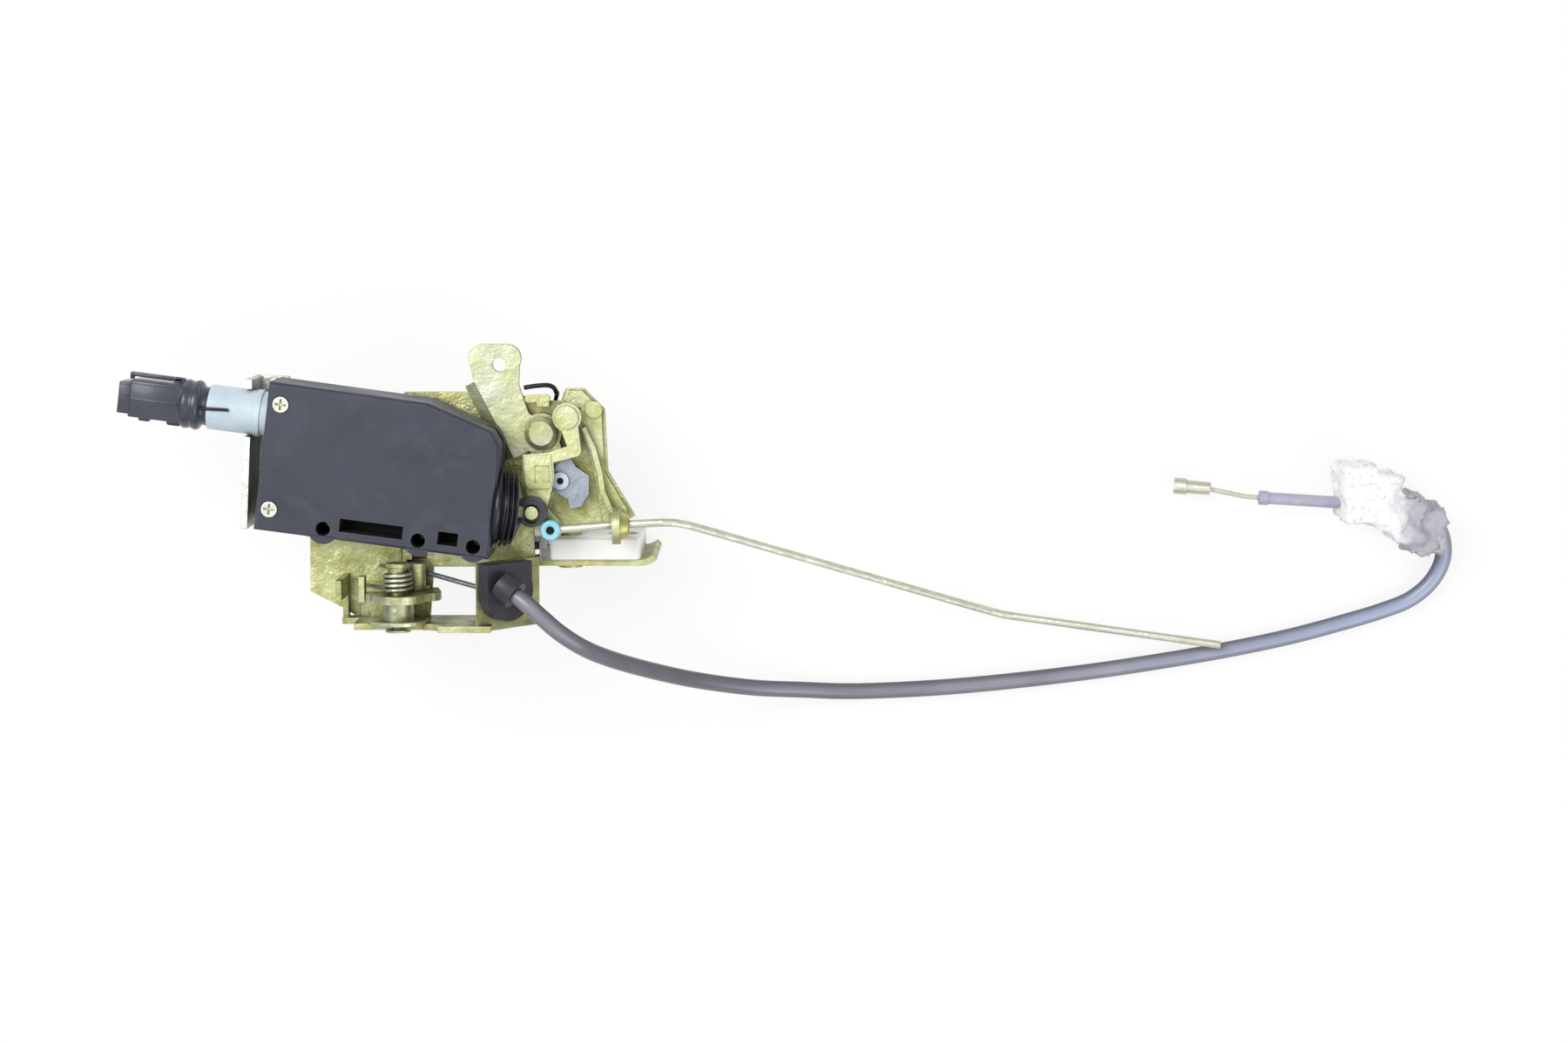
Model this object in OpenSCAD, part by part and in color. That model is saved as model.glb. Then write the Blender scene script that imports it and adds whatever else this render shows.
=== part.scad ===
// Vehicle door latch with power-lock actuator and inside-release cable.
// Millimetres. The latch lies on its back edges: X runs along the door-edge
// faceplate, Y away from the shut face, Z up through the actuator's cover.

/* [Latch case] */
// Thickness of the plated sheet of the case
sheet_t = 2; // [1.8:0.1:2.2]
// Width of the faceplate, from its free edge to the main plate
edge_w = 40; // [39.5:0.5:41]
// Length of the faceplate's flat part left of its centre
face_l = 50; // [48:1:54]
// Length of the faceplate's flat part right of its centre
face_r = 48; // [47:1:50]
// Hole spacing of the faceplate, along its length
hole_dx = 84; // [82:0.5:86]
// Hole spacing of the faceplate, across it
hole_dz = 22; // [20:0.5:24]
// Tapped diameter of the M6 fixing holes
tap_d = 5; // [4.8:0.1:5.4]
// Width of the striker slot
slot_w = 13; // [12:0.5:14]
// Length of the back bracket's foot
foot_l = 25; // [22:1:26]

/* [Rotary latch] */
// Thickness of the fork and the pawl
fork_t = 5; // [4:0.1:5.2]
// Distance from the fork's pivot to the striker
fork_arm = 15; // [14.6:0.1:15.2]
// Outer radius of the fork's catch arm
fork_r = 26.6; // [26:0.1:26.8]
// Diameter of the fork's pivot pin
fork_pin_d = 8; // [7:0.1:9]
// Diameter of the pawl's pivot pin
pawl_pin_d = 4.6; // [4:0.1:5]
// Swing of the fork from latched to open
fork_swing = 50; // [48:1:50]
// Swing of the pawl from engaged to lifted
pawl_swing = 16; // [16:0.5:17]

/* [Levers] */
// Thickness of the outside-handle lever
lever_t = 2.5; // [2:0.1:2.5]
// Thickness of the link on the lever
link_t = 1.5; // [1.2:0.1:1.5]
// Diameter of the big lever rivet's head
rivet_head_d = 10.6; // [9:0.2:11]
// Diameter of the handle-rod hole
rod_hole_d = 4.5; // [4:0.1:5]
// Thickness of the lock lever
lock_t = 1.8; // [1.5:0.1:1.9]
// Diameter of the lock rod
rod_d = 2.6; // [2.4:0.1:2.8]

/* [Cable release] */
// Diameter of the release pin
rel_pin_d = 6; // [5:0.1:6.4]
// Thickness of the release lever
rel_t = 2.5; // [2:0.1:2.6]
// Wire diameter of the release spring
rel_wire = 1.3; // [1:0.1:1.4]
// Diameter of the cable's sheath
sheath_d = 5.5; // [5:0.1:6]
// Diameter of the inner wire
wire_d = 1.6; // [1.2:0.1:1.8]

/* [Actuator] */
// Stroke of the actuator's plunger
stroke = 14; // [12:0.5:14]
// Length of the actuator's housing
act_l = 74.3; // [73:0.1:75]
// Thickness of the actuator's walls
wall = 1.8; // [1.5:0.1:2]
// Height of the actuator's housing
act_h = 20.5; // [20:0.5:21.5]
// Diameter of the motor
motor_d = 15; // [13:0.5:15.5]
// Diameter of the mounting holes along the lower edge
lug_d = 4.6; // [4:0.1:5]
// Outer radius of the rubber boot
boot_r = 12.9; // [12:0.1:13.2]

/* [Hidden] */
$fn = 48;
run = 0.05;          // running or seated fit on a radius
gap = 0.3;           // clearance between pieces that pass each other
datum = [0, 15, 20]; // centre of the faceplate's fixing holes, in the plan

zinc = "#c9c98a";
zinc_dk = "#a5a262";
slate = "#3c3e48";
blackr = "#1d1d22";
milky = "#e6ecef";

// Levels above the back edges
z_main = edge_w;
z_top = z_main + sheet_t;
z_lever = z_top + 0.5;
z_link = z_lever + lever_t + gap;
z_lock = z_top + 8.2;
z_act = z_top + 3.5;
z_axis = z_act + 10;
z_split = z_act + act_h / 2;

// Faceplate and rotary latch, X and Z in the plan
fy = datum[1];
fyi = fy + sheet_t;
slot_x = 10;
fork_x = slot_x - fork_arm;
fork_z = 21.5;
pawl_x = slot_x + 15;
pawl_z = fork_z + 12.5;
case_t = 7.5;
case_y = fyi + case_t;
fork_y = fyi + 0.4;

// Levers, X and Y in the plan
lever_p = [16.9, 58.5];
link_p = [22.9, 43.4];
act_ang = -7.5;
eye = [14.6, 34.4];
dir = [cos(act_ang), sin(act_ang)];
nrm = [-sin(act_ang), cos(act_ang)];
lock_h = 31;
lock_p = eye + dir * stroke / 2 + nrm * lock_h;
clip_p = [20.4, 28.7];
eye_x = 11.2;
act_o = eye - dir * eye_x;
// Row of the cover screws at the housing's end, and the leads' height there
end_x = act_l - 4.3;
lead_y = 20;
// Gear's shaft and the worm's line in the housing
gear_p = [36 - end_x, 4.2];
worm_y = 18;
bush = [41, 29.9];

// Release lever, its axis along Y
rel_x = -28.2;
rel_z = z_top + 16;
rel_y = 6;
nip = [-23.7, 14, z_top + 3.6];
hub = [3.5, 9.2, 60];

// Route of the free cable's sheath, in the plan
route = [[10, 9.2, 66.5], [14.3, 6, 68], [18.8, 2, 68.4], [24.3, -3, 67], [31.5, -8.6, 61.6], [40, -14, 51.4],
    [52, -20, 37.4], [66, -25.5, 24], [84, -30, 12.5], [100, -32, 6], [116, -33, 3.2], [134, -32.5, 2.75],
    [154, -31.2, 2.75], [176, -29, 2.75], [198, -26.3, 2.75], [220, -23, 2.75], [242, -19.2, 2.75],
    [264, -14.6, 2.75], [284, -9.2, 2.75], [297, -5.1, 3], [306, -1, 3.7], [312.7, 5.7, 4.8],
    [315.6, 14.2, 6.2], [313.4, 23, 7.7], [306.6, 29.1, 9], [297.4, 31, 10]];
exit_dir = unit(smooth(route, 2)[1] - route[0]);
end_a = [296.1, 31.1, 10];
end_b = [253, 33.6, 8.2];
end_dir = unit(end_b - end_a);
// Route of the lock rod
rod_route = [[clip_p[0], clip_p[1], z_lock - 1.1], [clip_p[0], clip_p[1], z_axis - 1.6],
    [clip_p[0] + 0.5, clip_p[1], z_axis - 0.5], [clip_p[0] + 2, clip_p[1] + 0.1, z_axis], [41, 30.3, z_axis],
    [56, 31, z_axis], [60, 30.8, z_axis - 0.8], [64, 29.8, z_axis - 2.6], [70, 27.8, 50.2], [164, -5.6, 3.1],
    [168, -6.8, 1.8], [172, -7.5, 1.7], [241, -16.2, 8.5]];

module at() { translate(-datum) children(); }
// Plates that lie in the plan, and plates that stand parallel to the faceplate
module flat(z, t) { translate([0, 0, z]) linear_extrude(t) children(); }
module upright(y, t) { translate([0, y + t, 0]) rotate([90, 0, 0]) linear_extrude(t) children(); }
// A straight-sided bar between two round ends, in 2D
module bar2(p, q, r1, r2) {
    d = q - p;
    n = [-d[1], d[0]] / norm(d);
    polygon([p + n * r1, q + n * r2, q - n * r2, p - n * r1]);
    translate(p) circle(r1);
    translate(q) circle(r2);
}
// A round rod between two points
module rod(p, q, d) {
    v = q - p;
    translate(p) rotate([0, acos(v[2] / norm(v)), atan2(v[1], v[0])]) cylinder(d = d, h = norm(v));
}
module rods(pts, d) {
    for (i = [0:len(pts) - 2]) rod(pts[i], pts[i + 1], d);
    for (i = [1:len(pts) - 2]) translate(pts[i]) sphere(d = d);
}
module pin_y(x, z, y1, y2, d) { translate([x, y1, z]) rotate([-90, 0, 0]) cylinder(d = d, h = y2 - y1); }
module actuator_frame() { translate([act_o[0], act_o[1], 0]) rotate([0, 0, act_ang]) children(); }

// Tube swept along points, for wire coils and the free cable
function unit(v) = v / norm(v);
function tangent(p, i) = unit(p[min(i + 1, len(p) - 1)] - p[max(i - 1, 0)]);
function side_of(t) = unit(cross(t, abs(t[2]) > 0.9 ? [1, 0, 0] : [0, 0, 1]));
function ring(p, i, r, n) = let (t = tangent(p, i), u = side_of(t), w = cross(t, u))
    [for (k = [0:n - 1]) p[i] + r * (cos(360 * k / n) * u + sin(360 * k / n) * w)];
module tube(p, r, n) {
    m = len(p);
    polyhedron(points = [for (i = [0:m - 1]) each ring(p, i, r, n)],
        faces = concat([[for (k = [0:n - 1]) k]], [[for (k = [n - 1:-1:0]) (m - 1) * n + k]],
            [for (i = [0:m - 2]) for (k = [0:n - 1])
                [i * n + k, (i + 1) * n + k, (i + 1) * n + (k + 1) % n, i * n + (k + 1) % n]]));
}
// Points of a coil along +Z with straight legs, then a smooth curve through hand-set points
function coil(r, h, turns, a0 = 0, per = 12) = [for (i = [0:turns * per])
    let (a = a0 + 360 * i / per) [r * cos(a), r * sin(a), h * i / (turns * per)]];
function spline(p, i, t) = let (a = p[max(i - 1, 0)], b = p[i], c = p[i + 1], d = p[min(i + 2, len(p) - 1)])
    0.5 * (2 * b + (c - a) * t + (2 * a - 5 * b + 4 * c - d) * t * t + (3 * b - a - 3 * c + d) * t * t * t);
function smooth(p, k) = concat([for (i = [0:len(p) - 2]) for (j = [0:k - 1]) spline(p, i, j / k)], [p[len(p) - 1]]);

// Sheet-metal case
module main_plate_outline() {
    polygon([[-58.3, 24.6], [-58.5, 7], [-47.5, 1.3], [-41, -2.8], [-20, -2.8], [-18.5, fy], [14, fy],
        [14, 28.6], [41, 28.6], [46.5, 31.5], [44, 36], [38, 46], [37, 66], [30.5, 72.6], [24.4, 72.6],
        [23, 68.6], [19, 68.8], [8, 70.8], [-4.5, 71.5], [-27, 71.5], [-30.5, 66.5], [8 - end_x, 70],
        [6 - end_x, 76.5], [-4.6 - end_x, 77], [-7.3 - end_x, 29.5]]);
}
module main_plate() color(zinc) at() {
    difference() {
        flat(z_main, sheet_t) main_plate_outline();
        // Window for the release lever's finger
        translate([rel_x - 0.6, 17.5, z_main - 1]) cube([10.4, 4.8, sheet_t + 2]);
        for (p = [lever_p, lock_p]) translate([p[0], p[1], z_main - 1])
            cylinder(d = (p == lever_p ? 8 : 4) + 2 * run, h = sheet_t + 2);
        for (x = [-9, 9]) translate([x, 31.8, z_main - 1]) cylinder(d = 4 + 2 * run, h = sheet_t + 2);
        translate([33.6, 66, z_main - 1]) cylinder(d = 3 + 2 * run, h = sheet_t + 2);
        actuator_frame() for (p = fix_at) translate([p[0], p[1], z_main - 1])
            cylinder(d = fix_d + 2 * run, h = sheet_t + 2);
    }
    // Tab over the outside lever
    translate([15.6, 67.2, z_top - 0.1]) cube([4, 1.5, 4.2]);
    flat(z_lever + lever_t + 0.9, 1.4) {
        translate([15.6, 67.2]) square([4, 2.5]);
        bar2([13, 69.7], [18.8, 69.9], 1.2, 1.2);
    }
    // Flange beside the actuator, notched for the lead sleeve
    difference() {
        translate([-7.3 - end_x, 29.5, z_main]) rotate([0, 0, -3.25]) cube([sheet_t, 47.4, 19.5]);
        actuator_frame() translate([-20 - end_x, lead_y, z_axis]) rotate([0, 90, 0]) cylinder(d = 15.2, h = 30);
        actuator_frame() translate([-20 - end_x, lead_y - 7.6, z_axis]) cube([30, 15.2, 20]);
    }
}
module faceplate() color(zinc) at() {
    difference() {
        union() {
            upright(fy, sheet_t) translate([-face_l, 0]) square([face_l + face_r, edge_w]);
            for (x = [-1, 1]) for (z = [-1, 1])
                pin_y(x * hole_dx / 2, datum[2] + z * hole_dz / 2, fyi, fyi + 2, tap_d + 4);
        }
        for (x = [-1, 1]) for (z = [-1, 1])
            pin_y(x * hole_dx / 2, datum[2] + z * hole_dz / 2, fy - 1, fyi + 4, tap_d);
        upright(fy - 1, sheet_t + 2) {
            translate([slot_x, fork_z]) circle(d = slot_w);
            translate([slot_x - slot_w / 2, -1]) square([slot_w, fork_z + 1]);
        }
        pin_y(fork_x, fork_z, fy - 1, fyi + 1, fork_pin_d + 2 * run);
        pin_y(pawl_x, pawl_z, fy - 1, fyi + 1, pawl_pin_d + 2 * run);
    }
    translate([face_r, fyi + 6, 0]) rotate([0, 0, -90]) rotate_extrude(angle = 42)
        translate([6, 0]) square([sheet_t, edge_w]);
}
module side_gusset() color(zinc_dk) at() {
    translate([-face_l, 0, 0]) rotate([90, 0, 90]) linear_extrude(sheet_t)
        polygon([[fyi, 0], [60, 0], [60, 9], [44, z_main], [fyi, z_main]]);
}
module back_bracket() color(zinc_dk) at() {
    difference() {
        translate([-foot_l, 46, z_main - sheet_t]) cube([foot_l, 16, sheet_t]);
        actuator_frame() translate([fix_at[2][0], fix_at[2][1], z_main - sheet_t - 1])
            cylinder(d = fix_d + 2 * run, h = sheet_t + 2);
    }
    translate([-foot_l, 60, sheet_t]) cube([foot_l, sheet_t, z_main - 2 * sheet_t]);
    translate([-foot_l, 54, 0]) cube([foot_l, 6 + sheet_t, sheet_t]);
}
// Rotary latch
module latch_case() color(milky) at() {
    difference() {
        translate([-18.5, fyi, 0.5]) cube([face_r + 18.5, case_t, z_main - 0.9]);
        // Cavity of the fork and the pawl
        translate([-17, fyi - 1, 1.7]) cube([57, fork_t + 1.8, z_main - 3.6]);
        // Striker channel
        translate([slot_x - slot_w / 2 - 0.5, fyi - 1, -1]) cube([slot_w + 1, case_t - 0.7, fork_z]);
        // Way out for the pawl's tail
        translate([12.6, fyi - 1, z_main - 4]) cube([15, fork_t + 1.8, 5]);
        // Slots for the pawl's stub and the fork spring's leg
        translate([pawl_x - 2.2, fyi, 20.5]) cube([8, case_t + 1, 6]);
        translate([-15, fyi, 19]) cube([6, case_t + 1, 10.5]);
        // Corner left free for the release link
        translate([-20, fyi - 1, z_main - 3.4]) cube([6, case_t + 2, 5]);
        pin_y(fork_x, fork_z, fyi - 1, case_y + 1, fork_pin_d + 2 * run);
        pin_y(pawl_x, pawl_z, fyi - 1, case_y + 1, pawl_pin_d + 2 * run);
        for (z = [-1, 1]) pin_y(hole_dx / 2, datum[2] + z * hole_dz / 2, fyi - 1, case_y + 1, tap_d + 5);
    }
    // Seat of the pawl's spring
    pin_y(38.5, 27, fyi + 2.3, case_y - 1, 4);
}
// The fork in its own plan, latched, its pivot at the origin
module fork_outline() {
    difference() {
        union() {
            circle(11);
            intersection() {
                circle(fork_r, $fn = 96);
                polygon([[-4, 10.2], [2, 11.5], [fork_r, 11.5], [fork_r, 5.4], [-4, 5.4]]);
            }
            intersection() {
                circle(19.3, $fn = 96);
                polygon([[-4, -10.2], [2, -11], [20, -10], [20, -5.4], [-4, -5.4]]);
            }
        }
        translate([fork_arm, 0]) circle(5.4);
        translate([fork_arm, -5.4]) square([20, 10.8]);
        circle(fork_pin_d / 2 + run);
        translate([-8.6, 0]) circle(0.8);
    }
}
module fork_bolt() color("#8c8c90") at()
    translate([fork_x, fork_y, fork_z]) rotate([0, fork_swing, 0]) upright(0, fork_t) fork_outline();
module fork_pin() color(zinc) at() {
    pin_y(fork_x, fork_z, fy - 1, case_y + 7, fork_pin_d);
    pin_y(fork_x, fork_z, fy - 1, fy, fork_pin_d + 4);
    pin_y(fork_x, fork_z, case_y + 6, case_y + 7.2, fork_pin_d + 3);
}
module fork_spring() color("#55555a") at() translate([fork_x, case_y + 0.9, fork_z])
    rotate([-90, 0, 0]) tube(concat([[-5.5, -6.6, -2.6], [-5.5, -6.6, 0]],
        [for (p = coil(5.4, 3.9, 3.5, 230)) p + [0, 0, 0.2]], [[13, 3.2, 4.1]]), 0.6, 6);
// The pawl in its own plan, lifted, its pivot at the origin
module pawl_outline() {
    difference() {
        union() {
            circle(3.9);
            rotate(pawl_swing) {
                polygon([[-2.1, 0], [2.6, 0], [2.6, -11.8], [-5.4, -11.8], [-5.4, -7.6], [-2.1, -7.6]]);
            }
            polygon([[-3.6, -1.4], [-8.5, 9.6 + (z_main - 40)], [-8.5, z_main - 29], [-6, z_main - 29],
                [-6, 9 + (z_main - 40)], [2, 3.4]]);
        }
        circle(pawl_pin_d / 2 + run);
    }
}
module pawl() color("#8c8c90") at() {
    translate([pawl_x, fork_y, pawl_z]) upright(0, fork_t) pawl_outline();
    // Tab for the link, and the stub for the release link
    translate([pawl_x - 8.5, fork_y + fork_t - 1, z_top + 1.5]) cube([2, 14.4, 3.5]);
    translate([pawl_x, fork_y, pawl_z]) rotate([0, -pawl_swing, 0])
        translate([0.2, fork_t - 1, -10]) rotate([-90, 0, 0]) cylinder(d = 3, h = 8.4);
}
module pawl_pin() color(zinc) at() {
    pin_y(pawl_x, pawl_z, fy - 1, case_y + 1.2, pawl_pin_d);
    pin_y(pawl_x, pawl_z, fy - 1, fy, pawl_pin_d + 3.4);
    pin_y(pawl_x, pawl_z, case_y, case_y + 1.2, pawl_pin_d + 3);
}
module pawl_spring() color("#55555a") at() translate([31.2, fork_y + fork_t / 2, 27])
    rotate([0, 90, 0]) tube(coil(2.2, 5, 4, 0, 16), 0.4, 6);
module stop_buffer() color(blackr) at() {
    translate([fork_x + 13.6, fyi + 0.3, z_main - 4.9]) cube([5, fork_t, 3]);
}
// Outside-handle lever, link and lock lever
module outside_lever_outline() {
    difference() {
        union() {
            bar2([-1.8, 82.4], [6, 82.4], 4.6, 4.6);
            polygon([[-5.9, 81.6], [10.1, 81.6], [9.8, 73.9], [12.8, 65], [16.9, 62], [16.9, 55], [9.6, 51],
                [8, 50.5], [-4.7, 75.3]]);
            translate(lever_p) circle(6.4);
            bar2([16.6, 57], link_p, 5.2, 4);
        }
        translate([3.6, 80.4]) circle(d = rod_hole_d);
        translate(lever_p) circle(d = 8 + 2 * run);
        translate(link_p) circle(d = 3.6);
    }
}
module outside_lever() color(zinc) at() {
    flat(z_lever, lever_t) outside_lever_outline();
    // Edge pressed down along the lower left
    translate([-4.7, 75.3, z_lever]) rotate([0, 0, -62.9]) translate([0.4, 0, 0]) rotate([90, 0, 90])
        linear_extrude(27) polygon([[0.4, lever_t - 0.1], [-3.4, 0.7], [-3.4, 0.1], [0.4, 0.1]]);
}
module lever_rivet() color(zinc) at() translate([lever_p[0], lever_p[1], 0]) {
    translate([0, 0, z_main - 7]) cylinder(d = 8, h = z_lever + lever_t + 0.1 - z_main + 7);
    translate([0, 0, z_lever + lever_t + 0.1]) cylinder(d = rivet_head_d, h = 1);
    translate([0, 0, z_lever + lever_t + 1.1]) cylinder(d1 = rivet_head_d, d2 = 7.6, h = 1);
    translate([0, 0, z_main - 8]) cylinder(d = 11, h = 1.2);
}
module lever_spring() color(blackr) at()
    tube(concat([[12.4, 72.2, z_lever + 3.4], [15.5, 73.2, z_lever + 3.6], [18.6, 73.9, z_lever + 3.6],
        [20.6, 73.4, z_lever + 3.2], [21.7, 71.6, z_lever + 1.5], [21.6, 71.4, z_main - 2]],
        [for (p = coil(5.2, -4, 3, 60)) p + [lever_p[0], lever_p[1], z_main - 1.6]]), 0.7, 8);
module lever_stop() color(blackr) at() translate([24.2, 53.4, z_top]) cube([2, 7.6, 5.6]);
module connecting_link() color("#b9bfc4") at() flat(z_link, link_t) difference() {
    polygon(concat([for (a = [140:15:245]) link_p + 4 * [cos(a), sin(a)]], [[25.3, 37.4], [25.8, 34.4],
        [29.4, 35], [32, 39.2], [32.1, 45], [27.8, 47.9], [26.3, 50.6], [23.1, 50.1]]));
    translate(link_p) circle(d = 3.4 + 2 * run);
}
module link_rivet() color("#d8dcd8") at() translate([link_p[0], link_p[1], 0]) {
    translate([0, 0, z_lever + 0.1]) cylinder(d = 3.4, h = lever_t + gap + link_t + 0.1);
    translate([0, 0, z_lever + lever_t]) cylinder(d = 5.4, h = gap - 0.05);
    translate([0, 0, z_link + link_t + 0.1]) difference() {
        cylinder(d = 5.6, h = 1);
        translate([0, 0, 0.3]) cylinder(d = 2.2, h = 2);
    }
}
module lock_lever() color(zinc) at() {
    flat(z_lock, lock_t) difference() {
        union() {
            translate(lock_p) circle(4.6);
            bar2(lock_p, [28, 54], 3.2, 2);
            bar2([28, 53.6], [20.4, 51.4], 2, 1.8);
            polygon([[11.4, 52.2], [20.8, 53.1], [21.4, 46], [20.6, 41], [18.6, 36], [13, 37.5], [11.6, 44]]);
            bar2([16.7, 40], eye, 3.5, 3.9);
            bar2(eye, clip_p, 3.9, 3.6);
        }
        translate(lock_p) circle(d = 4.4 + 2 * run);
        translate(clip_p) circle(d = rod_d + 0.2);
    }
    translate([eye[0], eye[1], z_lock]) cylinder(d = 4.2, h = z_axis + 3.4 - z_lock);
    // Raised frame of the pressed pad
    flat(z_lock + lock_t - 0.1, 0.6) difference() {
        polygon([[11.9, 51.6], [20.3, 52.4], [20.9, 46], [20.1, 41.6], [13, 41.2], [12.1, 44]]);
        polygon([[15.2, 43.4], [20, 43.4], [20, 48.8], [15.2, 48.8]]);
    }
}
module lock_pivot() color(zinc) at() translate([lock_p[0], lock_p[1], 0]) {
    translate([0, 0, z_main - 1]) cylinder(d = 4, h = z_top - z_main + 1);
    translate([0, 0, z_main - 1.4]) cylinder(d = 6, h = 1.4);
    translate([0, 0, z_top]) cylinder(d = 5.2, h = z_lock - 0.1 - z_top);
    translate([0, 0, z_top]) cylinder(d = 4.4, h = z_lock + lock_t + 0.1 - z_top);
    translate([0, 0, z_lock + lock_t + 0.1]) cylinder(d = 7.2, h = 1.2);
}
module lock_rod() color("#c3c49a") at() tube(rod_route, rod_d / 2, 12);
module rod_clip() color("#5fc3dc") at() translate([clip_p[0], clip_p[1], z_lock + lock_t]) difference() {
    union() {
        cylinder(r = 2.9, h = z_axis - z_lock - lock_t - 1.6);
        translate([-2.6, -1.9, 0]) cube([4.6, 3.8, z_axis - z_lock - lock_t + 2.4]);
    }
    translate([0, 0, -1]) cylinder(d = rod_d + 0.1, h = 20);
    translate([0, 0, z_axis - z_lock - lock_t]) rod([-0.2, 0, 0], [20.6, 1.6, 0], rod_d + 0.3);
    translate([-1.5, -1.5, z_axis - z_lock - lock_t - 1.8]) cube([6, 3, 2]);
}
module guide_arm() color(zinc) at() {
    flat(z_top, 1.6)
        polygon([[36, 66], [36.8, 46], [44, 34], [44, 31], [42.6, 29.2], [36.5, 29.2], [35.4, 35], [34.2, 41],
            [33, 48], [31, 55], [28.6, 61], [29.5, 66.5], [23.8, 69], [25, 72], [30, 72]]);
    difference() {
        translate([bush[0], 0, 0]) rotate([90, 0, 90]) linear_extrude(1.6) {
            translate([25.6, z_top]) square([8.6, z_axis - z_top]);
            translate([bush[1], z_axis]) circle(5.8);
        }
        translate([bush[0] - 1, bush[1], z_axis]) rotate([0, 90, 0]) cylinder(d = 7.6 + 2 * run, h = 4);
    }
    translate([bush[0] - 0.9, bush[1], z_axis]) rotate([0, 90, 0]) difference() {
        cylinder(r = 5.8, h = 1);
        translate([0, 0, -1]) cylinder(d = 7.6 + 2 * run, h = 4);
    }
    translate([33.6, 66, z_main - 0.5]) cylinder(d = 3, h = sheet_t + 2);
    translate([33.6, 66, z_top + 1.5]) cylinder(d = 5.4, h = 1.2);
    // Stiffening ridge that follows the edge
    flat(z_top + 1.5, 3.6) polygon([[29.8, 60.2], [32.8, 53.2], [34.8, 45.8], [35.6, 39.8], [38.1, 34],
        [40.8, 31.1], [42, 32.1], [39.5, 34.9], [37.2, 40.2], [36.4, 46.2], [34.4, 53.8], [31.2, 60.8]]);
}
module guide_bush() color(zinc_dk) at() translate([bush[0], bush[1], z_axis]) rotate([0, 90, 0])
    difference() {
        union() {
            translate([0, 0, -0.9]) cylinder(d = 7.6, h = 2.9);
            translate([0, 0, 1.6]) cylinder(d1 = 9.4, d2 = 6.8, h = 2.6);
        }
        translate([0, 0, -2]) cylinder(d = rod_d + 2.8, h = 8);
    }
// Inner release link
rl_y = case_y + 2.5;
module release_link() color(zinc_dk) at() difference() {
    union() {
        flat(z_main - 2.8, 2.2) polygon([[rel_x - 3, 17.4], [rel_x + 7, 17.4], [rel_x + 7, 24.6], [-18, rl_y],
            [20.8, rl_y], [20.8, rl_y + 2.6], [18, 36], [-24, 36], [rel_x - 3, 28]]);
        translate([18, rl_y, fork_z + 1.2]) cube([2.6, 2.6, z_main - 2.8 - fork_z]);
    }
    translate([rel_x - 0.5, 18, z_main - 5]) cube([4.2, 3.9, 6]);
    for (x = [-9, 9]) {
        for (k = [0, 1]) translate([x - 5.9 * k, 31.8, z_main - 5]) cylinder(d = 4.6, h = 6);
        translate([x - 5.9, 29.5, z_main - 5]) cube([5.9, 4.6, 6]);
    }
}
module link_guides() color(zinc) at() for (x = [-9, 9]) translate([x, 31.8, 0]) {
    translate([0, 0, z_main - 3.2]) cylinder(d = 4, h = sheet_t + 3.3);
    translate([0, 0, z_main - 4.1]) cylinder(d = 7.6, h = 1);
    translate([0, 0, z_top]) cylinder(d = 6.4, h = 0.4);
}
// Cable release
br_u = [0.7071, 0, -0.7071];
module bracket_frame() { translate(hub) rotate([0, 45, 0]) children(); }
module release_bracket() color(zinc) at() {
    difference() {
        union() {
            // Wall that carries the pin, and its foot on the main plate
            translate([-42, -2.8, z_top]) cube([44, 2, 24]);
            translate([-42, -0.8, z_top]) cube([22, 5, 1.6]);
            difference() {
                translate([2, -2.8, z_top + 3]) cube([13.5, 2, 21]);
                bracket_frame() translate([-40, -20, 0]) cube([80, 60, 40]);
            }
            // Plate that holds the cable's grommet
            intersection() {
                bracket_frame() translate([-8.4, -12, -2]) cube([26, 21.8, 2]);
                translate([-2.6, -2.8, 0]) cube([60, 60, 90]);
            }
        }
        bracket_frame() translate([2, 0, -4]) cylinder(d = 9.4 + 2 * run, h = 8);
        pin_y(rel_x, rel_z, -4, 0, rel_pin_d - 1 + 2 * run);
        // Rounded near edge of the wall
        translate([-60, -4, z_top + 18]) rotate([0, 0, 0]) cube([40, 5, 20]);
        translate([-21, -4, z_top + 18]) rotate([0, -20, 0]) cube([8, 5, 20]);
    }
    // Ear at the left end
    translate([-47.5, 6.6, z_top]) cube([1.8, 6.4, 19]);
    translate([-47.5, -2.8, z_top]) cube([6, 2, 6]);
    translate([-47.5, -2.8, z_top]) cube([1.8, 15.8, 4]);
}
module release_pin() color(zinc) at() {
    pin_y(rel_x, rel_z, -3.6, -2.8, rel_pin_d + 2);
    pin_y(rel_x, rel_z, -2.8, -0.8, rel_pin_d - 1);
    pin_y(rel_x, rel_z, -0.8, 0.4, 19);
    pin_y(rel_x, rel_z, 0.4, rel_y - 0.2, rel_pin_d + 4);
    pin_y(rel_x, rel_z, 0, 18, rel_pin_d);
    pin_y(rel_x, rel_z, 17.2, 18.4, rel_pin_d + 1.4);
}
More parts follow.
